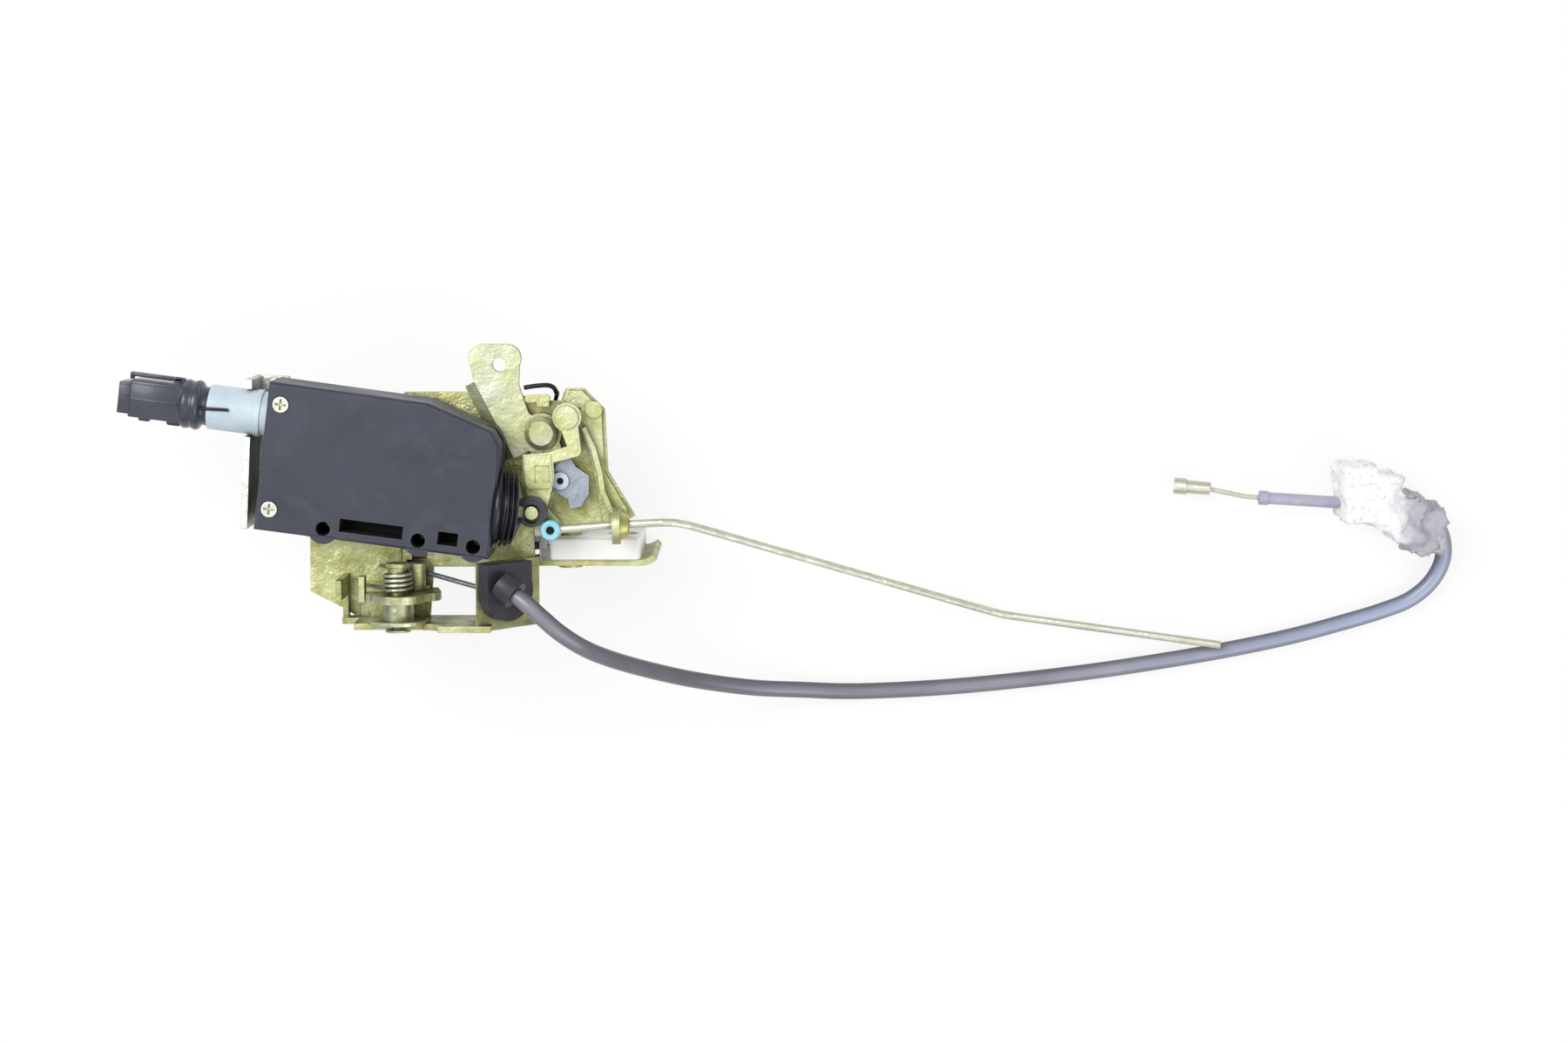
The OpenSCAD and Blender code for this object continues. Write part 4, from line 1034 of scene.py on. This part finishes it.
@dataclass
class CableRelease:
    """Release lever, its bracket, and the free cable with its foam and end.

    Attributes:
        sheath_d: Diameter of the cable's sheath in metres.
        coil_at: Centre of the release spring's first turn, on the release pin.
        coil_r: Radius of its turns.
        coil_start: Angle in degrees where they begin.
        coil_count: Steps that they are cut into.
        coil_rise: Length of the wound spring.
        coil_wire: Radius of its wire in metres.
        coil_steps: Pieces between two points of the wire.
        leg_first: Route of its first leg, as seen along the pin.
        leg_last: Route of its last leg.
        foam_lumps: Boxes that the soft wrap is formed from.
        foam_cell: Size in metres of the wrap's faces.
        foam_rounds: Times that the wrap is smoothed.
        lump: Lumps to a metre, and their height in metres.
        crease: Creases to a metre, and their depth in metres.
        fold_from: X in metres where the folds begin, towards the cable's end.
        fold_over: Length in metres over which they grow.
        fold_gain: How much stronger they get.
        route: Middle of the sheath, from the grommet to the foam.
        route_steps: Pieces between two points of the route.
    """

    sheath_d: float = 0.0055
    coil_at: Point = (-28.2, 9.5, 58.0)
    coil_r: float = 4.15
    coil_start: int = 130
    coil_count: int = 48
    coil_rise: float = 6.2
    coil_wire: float = 0.00065
    coil_steps: int = 3
    leg_first: tuple[Point, ...] = ((-11.0, 9.4, 0.4), (-6.0, 5.4, 0.3))
    leg_last: tuple[Point, ...] = ((-4.0, 8.0, 6.4), (-7.0, 12.6, 6.4))
    foam_lumps: tuple[tuple[Point, Point], ...] = (
        ((278.4, 34.9, 0.8), (290.6, 46.1, 21.8)),
        ((278.9, 26.5, 0.8), (294.1, 39.6, 23.8)),
        ((289.4, 24.0, 0.8), (298.6, 42.6, 22.8)),
        ((295.6, 19.5, 0.8), (305.6, 36.6, 21.8)),
        ((301.4, 15.5, 0.8), (313.6, 31.6, 19.8)),
    )
    foam_cell: float = 0.0009
    foam_rounds: int = 14
    lump: Pair = (210.0, 0.0011)
    crease: Pair = (520.0, 0.0009)
    fold_from: float = 0.2945
    fold_over: float = 0.004
    fold_gain: float = 1.4
    route: tuple[Point, ...] = (
        (10, 9.2, 66.4), (14.3, 6, 67.8), (18.8, 2, 68.2), (24.3, -3, 66.9), (31.5, -8.6, 61.6),
        (40, -14, 51.4), (52, -20, 37.4), (66, -25.5, 24), (84, -30, 12.5), (100, -31.9, 6),
        (116, -32.95, 3.2), (134, -32.5, 2.75), (154, -31.2, 2.75), (176, -29, 2.75),
        (198, -26.3, 2.75), (220, -23, 2.75), (242, -19.2, 2.75), (264, -14.6, 2.75),
        (284, -9.2, 2.75), (297, -5.1, 3), (306, -1, 3.7), (312.7, 5.7, 4.8),
        (315.6, 14.2, 6.2), (313.4, 23, 7.7), (306.6, 29.1, 9), (297.4, 31, 10),
    )
    route_steps: int = 6

    def build(self, shop: Workshop) -> None:
        """Dress the release group and lay the cable.

        Args:
            shop: The workshop.
        """
        shop.dress(Finish.ZINC_OLIVE, "release_lever", "release_pin", "release_bracket")
        self.spring(shop)
        shop.dress(Finish.RUBBER, "cable_grommet")
        shop.dress(Finish.BRIGHT, "cable_inner")
        shop.dress(Finish.ROD, "cable_end_nipple")
        shop.dress(Finish.TUBE, "cable_end_tube")
        foam = self.foam(shop)
        line = [spot(*p) for p in catmull(self.route, self.route_steps)]
        cable = shop.wire(
            "cable_sheath_skin", line, self.sheath_d / 2, Finish.SHEATH,
            instead_of=["cable_sheath"],
        )

    def spring(self, shop: Workshop) -> None:
        """Wind the release spring with its two legs, on the release pin.

        Args:
            shop: The workshop.
        """
        x, y, z = self.coil_at
        wound = coil(self.coil_r, self.coil_start, self.coil_count, self.coil_rise)
        whole = [*self.leg_first, *wound, *self.leg_last]
        line = [spot(x + u, y + w, z - v) for u, v, w in catmull(whole, self.coil_steps)]
        shop.wire(
            "release_spring_wire", line, self.coil_wire, Finish.COIL,
            instead_of=["release_spring"],
        )

    def foam(self, shop: Workshop) -> bpy.types.Object:
        """Form the soft wrap around the cable's end.

        Args:
            shop: The workshop.

        Returns:
            The wrap.
        """
        bm = bmesh.new()
        bm.from_mesh(self._foam_skin())
        for _ in range(self.foam_rounds):
            bmesh.ops.smooth_vert(
                bm, verts=bm.verts, factor=0.5, use_axis_x=True, use_axis_y=True, use_axis_z=True
            )
        bm.normal_update()
        lumps, height = self.lump
        creases, depth = self.crease
        for vert in bm.verts:
            big = noise.noise(vert.co * lumps)
            small = abs(noise.noise(vert.co * creases))
            reach = min(max((vert.co.x - self.fold_from) / self.fold_over, 0.0), 1.0)
            fold = 1.0 + self.fold_gain * reach
            vert.co += vert.normal * fold * (height * big - depth * small)
            vert.co.z = max(vert.co.z, FLOOR_Z + FLOOR_GAP)
        foam = shop.mesh("foam_wrap_soft", bm, Finish.FOAM, instead_of=["foam_wrap"])
        return foam

    def _foam_skin(self) -> bpy.types.Mesh:
        """Join the foam's boxes into one closed skin of even faces.

        Returns:
            The skin.
        """
        bm = bmesh.new()
        for low, high in self.foam_lumps:
            span = [(b - a) / MM_PER_M for a, b in zip(low, high)]
            box(bm, span, spot(*[(a + b) / 2 for a, b in zip(low, high)]))
        data = bpy.data.meshes.new("foam_rough")
        bm.to_mesh(data)
        bm.free()
        rough = bpy.data.objects.new("foam_rough", data)
        bpy.context.scene.collection.objects.link(rough)
        remesh = rough.modifiers.new("remesh", "REMESH")
        remesh.mode, remesh.voxel_size = "VOXEL", self.foam_cell
        graph = bpy.context.evaluated_depsgraph_get()
        skin = bpy.data.meshes.new_from_object(rough.evaluated_get(graph))
        bpy.data.objects.remove(rough)
        return skin


@dataclass
class LockActuator:
    """The power-lock actuator with its boot, sleeve and connector.

    Sizes are in the actuator's own millimetres: X runs along the plunger and starts at the
    case's end, Y across it, and heights count from the ground.

    Attributes:
        origin: X and Y in the plan of the actuator's own origin.
        turn: How far the actuator is turned in the plan, in degrees.
        axis_z: Height of the plunger's axis.
        top_z: Height of the cover's top.
        windows: Left and right end of each window in the cover.
        window_y: Middle of the windows.
        window_width: Width of their black lining, which is painted shade.
        window_depth: Where the lining begins and ends below the cover's top.
        play: How much shorter the lining is than its window.
        lugs: Centres of the mounting holes.
        lug_r: Radius of their lining.
        lug_depth: Height of their lining, with the plunger's axis at its middle.
        skin: Thickness of the linings.
        folds: Radius and X of the boot's outline.
        fold_steps: Pieces between two points of that outline.
        boot_steps: Faces around the boot.
        boot_r: Widest radius of the boot.
        bow: How far the boot's upper side bows out.
        bow_from: Height above the axis where the bow begins.
        bow_over: Height over which it grows.
        bow_root: Length over which it grows from the case.
        plug_at: Where the connector begins.
        plug_blocks: Soft boxes of the connector, from there on: two corners and the edges'
            radius.
        plug_collar: X and radius of its turned collar and neck.
        plug_steps: Faces around them.
        lead_r: Radius of the lead's end in metres.
        lead_route: Route of the lead's end in the plan's millimetres.
        lead_steps: Pieces between two points of that route.
    """

    origin: Pair = (3.4958, 35.8619)
    turn: float = -7.5
    axis_z: float = 55.5
    top_z: float = 66.0
    windows: tuple[Pair, ...] = ((-47.6, -27.6), (-16.6, -10.2))
    window_y: float = -10.7
    window_width: float = 4.1
    window_depth: Pair = (0.7, 9.3)
    play: float = 0.1
    lugs: tuple[Pair, ...] = ((-52.6, -12.6), (-22.6, -12.4), (-5.2, -12.2))
    lug_r: float = 2.25
    lug_depth: float = 19.0
    skin: float = 0.12
    folds: tuple[Pair, ...] = (
        (5.3, 0.05), (9.0, 0.05), (12.4, 0.05), (12.9, 0.7), (11.1, 1.45), (12.85, 2.35),
        (10.9, 3.05), (12.6, 3.85), (10.5, 4.55), (11.7, 5.25), (9.6, 5.8), (8.4, 6.0),
        (6.6, 6.5), (5.4, 6.6),
    )
    fold_steps: int = 5
    boot_steps: int = 72
    boot_r: float = 12.9
    bow: float = 2.2
    bow_from: float = 1.0
    bow_over: float = 5.0
    bow_root: float = 1.5
    plug_at: Point = (-123.2, 20.0, 55.5)
    plug_blocks: tuple[SoftBox, ...] = (
        ((5.0, -5.9, 4.4), (21.6, 5.9, 6.0), 0.6), ((5.0, -5.9, -6.0), (21.6, 5.9, -4.4), 0.6),
        ((5.0, 4.2, -5.9), (21.6, 5.9, 5.9), 0.6), ((5.0, -5.9, -5.9), (21.6, -4.2, 5.9), 0.6),
        ((1.4, -5.1, 4.0), (6.4, 4.9, 5.2), 0.4), ((1.4, -5.1, -5.2), (6.4, 4.9, -4.0), 0.4),
        ((1.4, 3.7, -5.1), (6.4, 4.9, 5.1), 0.4), ((1.4, -5.1, -5.1), (6.4, -3.9, 5.1), 0.4),
        ((3.4, 0.5, 4.6), (5.2, 1.4, 5.6), 0.2), ((12.6, -4.1, -4.3), (21.0, 4.1, 4.3), 0.4),
        ((5.6, -0.5, 5.7), (20.4, 0.2, 6.25), 0.2), ((9.8, -0.6, 5.6), (20.4, -0.1, 6.15), 0.15),
        ((4.2, 6.6, -1.6), (20.4, 7.9, 1.6), 0.4), ((3.7, 5.6, -1.3), (4.9, 7.9, 1.3), 0.35),
        ((17.6, 5.4, -1.6), (21.0, 7.9, 1.6), 0.3), ((7.6, -7.2, -1.6), (11.2, -5.6, 1.6), 0.5),
        ((16.6, -7.4, -2.2), (21.0, -5.4, 2.2), 0.7),
    )
    plug_collar: tuple[Pair, ...] = (
        (20.6, 4.4), (20.6, 6.4), (21.2, 7.4), (22.2, 7.85), (23.3, 7.6), (23.9, 7.3),
        (24.5, 7.55), (25.6, 7.95), (26.6, 7.6), (27.1, 6.9), (27.3, 6.25), (27.8, 6.2),
        (28.0, 5.9), (28.3, 5.9), (28.5, 6.2), (28.9, 6.2), (29.1, 5.9), (29.35, 5.9),
        (29.45, 6.1), (29.5, 4.4),
    )
    plug_steps: int = 64
    lead_r: float = 0.0005
    lead_route: tuple[Point, ...] = (
        (-89.4, 67.9, 62.3), (-86.0, 67.8, 63.1), (-82.0, 67.6, 63.2), (-79.6, 67.4, 63.1),
    )
    lead_steps: int = 4

    def build(self, shop: Workshop) -> None:
        """Dress the actuator and make its soft details and the painted shade in its recesses.

        Args:
            shop: The workshop.
        """
        shop.dress(Finish.SLATE, "actuator_base", "actuator_cover", "plunger")
        shop.dress(Finish.BRIGHT, "mounting_screws")
        shop.dress(Finish.ROD, "cover_screws")
        shop.dress(Finish.RUBBER, "wire_leads")
        shop.dress(Finish.SLEEVE, "lead_sleeve")
        shop.dress(Finish.STEEL, "motor", "gear_shaft")
        shop.dress(Finish.BRASS, "motor_worm", "connector_terminals")
        shop.dress(Finish.ACETAL, "reduction_gear")
        self.boot(shop)
        self.recesses(shop)
        self.lead(shop)
        self.plug(shop)

    def into_place(self) -> Matrix:
        """Work out how the actuator lies in the frame.

        Returns:
            Matrix from its own millimetres to the frame's metres.
        """
        place = Matrix.Translation(spot(self.origin[0], self.origin[1], 0.0))
        turn = Matrix.Rotation(math.radians(self.turn), 4, "Z")
        return place @ turn @ Matrix.Scale(1.0 / MM_PER_M, 4)

    def plug(self, shop: Workshop) -> None:
        """Form the connector: shroud, hollow insert, latch rail, turned collar and neck.

        Args:
            shop: The workshop.
        """
        bm = bmesh.new()
        for low, high, soft in self.plug_blocks:
            block(bm, low, high, soft)
        turned(bm, self.plug_collar, steps=self.plug_steps)
        bmesh.ops.translate(bm, verts=bm.verts, vec=self.plug_at)
        bmesh.ops.transform(bm, matrix=self.into_place(), verts=bm.verts)
        shop.mesh("plug_shell", bm, Finish.PLUG, instead_of=["connector_body"])

    def boot(self, shop: Workshop) -> None:
        """Turn the folded rubber boot and bow its upper side.

        Args:
            shop: The workshop.
        """
        outline = catmull([(x, 0.0, r) for r, x in self.folds], self.fold_steps)
        bm = bmesh.new()
        turned(bm, [(p.x, p.z) for p in outline], out=(0.0, 0.0, 1.0), steps=self.boot_steps)
        for vert in bm.verts:
            x, y, z = vert.co
            rise = min(max((z - self.bow_from) / self.bow_over, 0.0), 1.0)
            rise *= min(x / self.bow_root, 1.0)
            vert.co.x += self.bow * rise * (1.0 - (y / self.boot_r) ** 2)
            vert.co.z += self.axis_z
        bmesh.ops.transform(bm, matrix=self.into_place(), verts=bm.verts)
        shop.mesh("boot_folds", bm, Finish.BOOT, instead_of=["plunger_boot"])

    def recesses(self, shop: Workshop) -> None:
        """Line the windows and the mounting holes of the cover with black skins, painted shade, so
        that they look deep.

        Args:
            shop: The workshop.
        """
        bm = bmesh.new()
        high, low = (self.top_z - depth for depth in self.window_depth)
        for left, right in self.windows:
            span = (right - left - self.play, self.window_width, high - low)
            made = box(bm, span, ((left + right) / 2, self.window_y, (low + high) / 2))
            sides = dict.fromkeys(f for v in made for f in v.link_faces)
            top = max(sides, key=lambda side: side.calc_center_median().z)
            bmesh.ops.delete(bm, geom=[top], context="FACES_ONLY")
        for x, y in self.lugs:
            ring = bmesh.ops.create_circle(
                bm, cap_ends=False, segments=RING_STEPS, radius=self.lug_r
            )["verts"]
            foot = (x, y, self.axis_z - self.lug_depth / 2)
            bmesh.ops.translate(bm, verts=ring, vec=foot)
            rim = list(dict.fromkeys(e for v in ring for e in v.link_edges))
            wall = bmesh.ops.extrude_edge_only(bm, edges=rim)["geom"]
            upper = [part for part in wall if isinstance(part, bmesh.types.BMVert)]
            bmesh.ops.translate(bm, verts=upper, vec=(0, 0, self.lug_depth))
        bmesh.ops.recalc_face_normals(bm, faces=bm.faces)
        bmesh.ops.solidify(bm, geom=list(bm.faces), thickness=self.skin)
        bmesh.ops.transform(bm, matrix=self.into_place(), verts=bm.verts)
        shop.mesh("recess_shade_linings", bm, Finish.RECESS_SHADE, smooth=False)

    def lead(self, shop: Workshop) -> None:
        """Lay the short end of lead that shows on the milky sleeve.

        Args:
            shop: The workshop.
        """
        line = [spot(*p) for p in catmull(self.lead_route, self.lead_steps)]
        shop.wire("sleeve_lead", line, self.lead_r, Finish.SPRING)


@dataclass(frozen=True)
class Lamp:
    """One soft lamp of the studio.

    Attributes:
        name: Its name.
        place: Where it hangs, in metres.
        size: Length of its sides in metres.
        power: Its power in watts.
    """

    name: str
    place: Point
    size: float
    power: float


@dataclass
class Studio:
    """White floor, soft lamps and the camera above the latch.

    Attributes:
        target: Place in the plan that the camera looks at, in millimetres.
        distance: How far away the camera is, in millimetres.
        tilt: How far the view leans from the plan's normal, in degrees.
        focal_px: Focal length in pixels of the photograph.
        photo_width: Width of the photograph in pixels.
        sensor: Width of the camera's sensor in millimetres.
        paper: Brightness of the floor.
        paper_rough: Its roughness.
        paper_glow: Share of the floor that is plain white to the camera and in reflections.
        paper_size: Half the length of its sides in metres.
        sky: Strength of the surroundings below and above.
        lamps: The lamps.
        lit: Place in metres that the lamps point at.
    """

    target: Point = (94.5, 32.05, 64.0)
    distance: float = 900.0
    tilt: float = 7.0
    focal_px: float = 3285.0
    photo_width: float = 1800.0
    sensor: float = 36.0
    paper: float = 0.93
    paper_rough: float = 0.9
    paper_glow: float = 0.82
    paper_size: float = 3.0
    sky: Pair = (0.16, 0.82)
    lamps: tuple[Lamp, ...] = (
        Lamp("key", (-0.5, 0.5, 1.0), 0.7, 9.0),
        Lamp("fill", (0.8, -0.5, 0.9), 0.9, 5.0),
    )
    lit: Point = (0.05, 0.02, 0.0)

    def floor(self) -> None:
        """Lay the white floor."""
        bm = bmesh.new()
        bmesh.ops.create_grid(bm, x_segments=1, y_segments=1, size=self.paper_size)
        bmesh.ops.translate(bm, verts=bm.verts, vec=(0, 0, FLOOR_Z - FLOOR_GAP))
        data = bpy.data.meshes.new("studio_floor")
        bm.to_mesh(data)
        bm.free()
        data.materials.append(self._white_paper())
        obj = bpy.data.objects.new("studio_floor", data)
        bpy.context.scene.collection.objects.link(obj)

    def _white_paper(self) -> bpy.types.Material:
        """Make the floor's material, which keeps the latch's shadow.

        Returns:
            The material.
        """
        mat = bpy.data.materials.new("white paper")
        mat.use_nodes = True
        nodes, link = mat.node_tree.nodes, mat.node_tree.links.new
        paper = nodes["Principled BSDF"]
        paper.inputs["Base Color"].default_value = (self.paper, self.paper, self.paper, 1.0)
        paper.inputs["Roughness"].default_value = self.paper_rough
        glow = nodes.new("ShaderNodeEmission")
        ray = nodes.new("ShaderNodeLightPath")
        seen = nodes.new("ShaderNodeMath")
        seen.operation = "MAXIMUM"
        link(ray.outputs["Is Camera Ray"], seen.inputs[0])
        link(ray.outputs["Is Glossy Ray"], seen.inputs[1])
        part = nodes.new("ShaderNodeMath")
        part.operation = "MULTIPLY"
        link(seen.outputs["Value"], part.inputs[0])
        part.inputs[1].default_value = self.paper_glow
        mix = nodes.new("ShaderNodeMixShader")
        link(part.outputs["Value"], mix.inputs["Fac"])
        link(paper.outputs["BSDF"], mix.inputs[1])
        link(glow.outputs["Emission"], mix.inputs[2])
        link(mix.outputs["Shader"], nodes["Material Output"].inputs["Surface"])
        return mat

    def light(self) -> None:
        """Set the pale surroundings and hang the soft lamps."""
        world = bpy.data.worlds.new("studio")
        bpy.context.scene.world = world
        world.use_nodes = True
        nodes, link = world.node_tree.nodes, world.node_tree.links.new
        sky = nodes["Background"]
        sky.inputs["Color"].default_value = (1.0, 1.0, 1.0, 1.0)
        where = nodes.new("ShaderNodeTexCoord")
        part = nodes.new("ShaderNodeSeparateXYZ")
        rise = nodes.new("ShaderNodeMapRange")
        below, above = self.sky
        rise.inputs["To Min"].default_value = below
        rise.inputs["To Max"].default_value = above
        link(where.outputs["Generated"], part.inputs["Vector"])
        link(part.outputs["Z"], rise.inputs["Value"])
        link(rise.outputs["Result"], sky.inputs["Strength"])
        for lamp in self.lamps:
            data = bpy.data.lights.new(lamp.name, "AREA")
            data.size, data.energy = lamp.size, lamp.power
            obj = bpy.data.objects.new(lamp.name, data)
            obj.location = lamp.place
            aim = Vector(self.lit) - Vector(lamp.place)
            obj.rotation_euler = aim.to_track_quat("-Z", "Y").to_euler()
            bpy.context.scene.collection.objects.link(obj)

    def camera(self) -> None:
        """Set the camera where the photograph was taken from."""
        lean = math.radians(self.tilt)
        cam = bpy.data.cameras.new("photo")
        cam.sensor_width = self.sensor
        cam.lens = self.focal_px / self.photo_width * self.sensor
        obj = bpy.data.objects.new("photo", cam)
        back = Vector((0, math.sin(lean), math.cos(lean))) * self.distance
        obj.location = spot(*(Vector(self.target) + back))
        obj.rotation_euler = (-lean, 0, 0)
        bpy.context.scene.collection.objects.link(obj)
        bpy.context.scene.camera = obj


def main() -> None:
    """Build every sub-assembly in order."""
    logging.basicConfig(level=logging.INFO, format="%(name)s: %(message)s")
    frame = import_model()
    bpy.context.scene.view_settings.view_transform = "Standard"
    studio = Studio()
    studio.camera()
    shop = Workshop(FinishBook(), frame["nodes"])
    for group in (CableRelease(), LatchCase(), Levers(), LockActuator()):
        group.build(shop)
    studio.floor()
    studio.light()


if __name__ == "__main__":
    main()
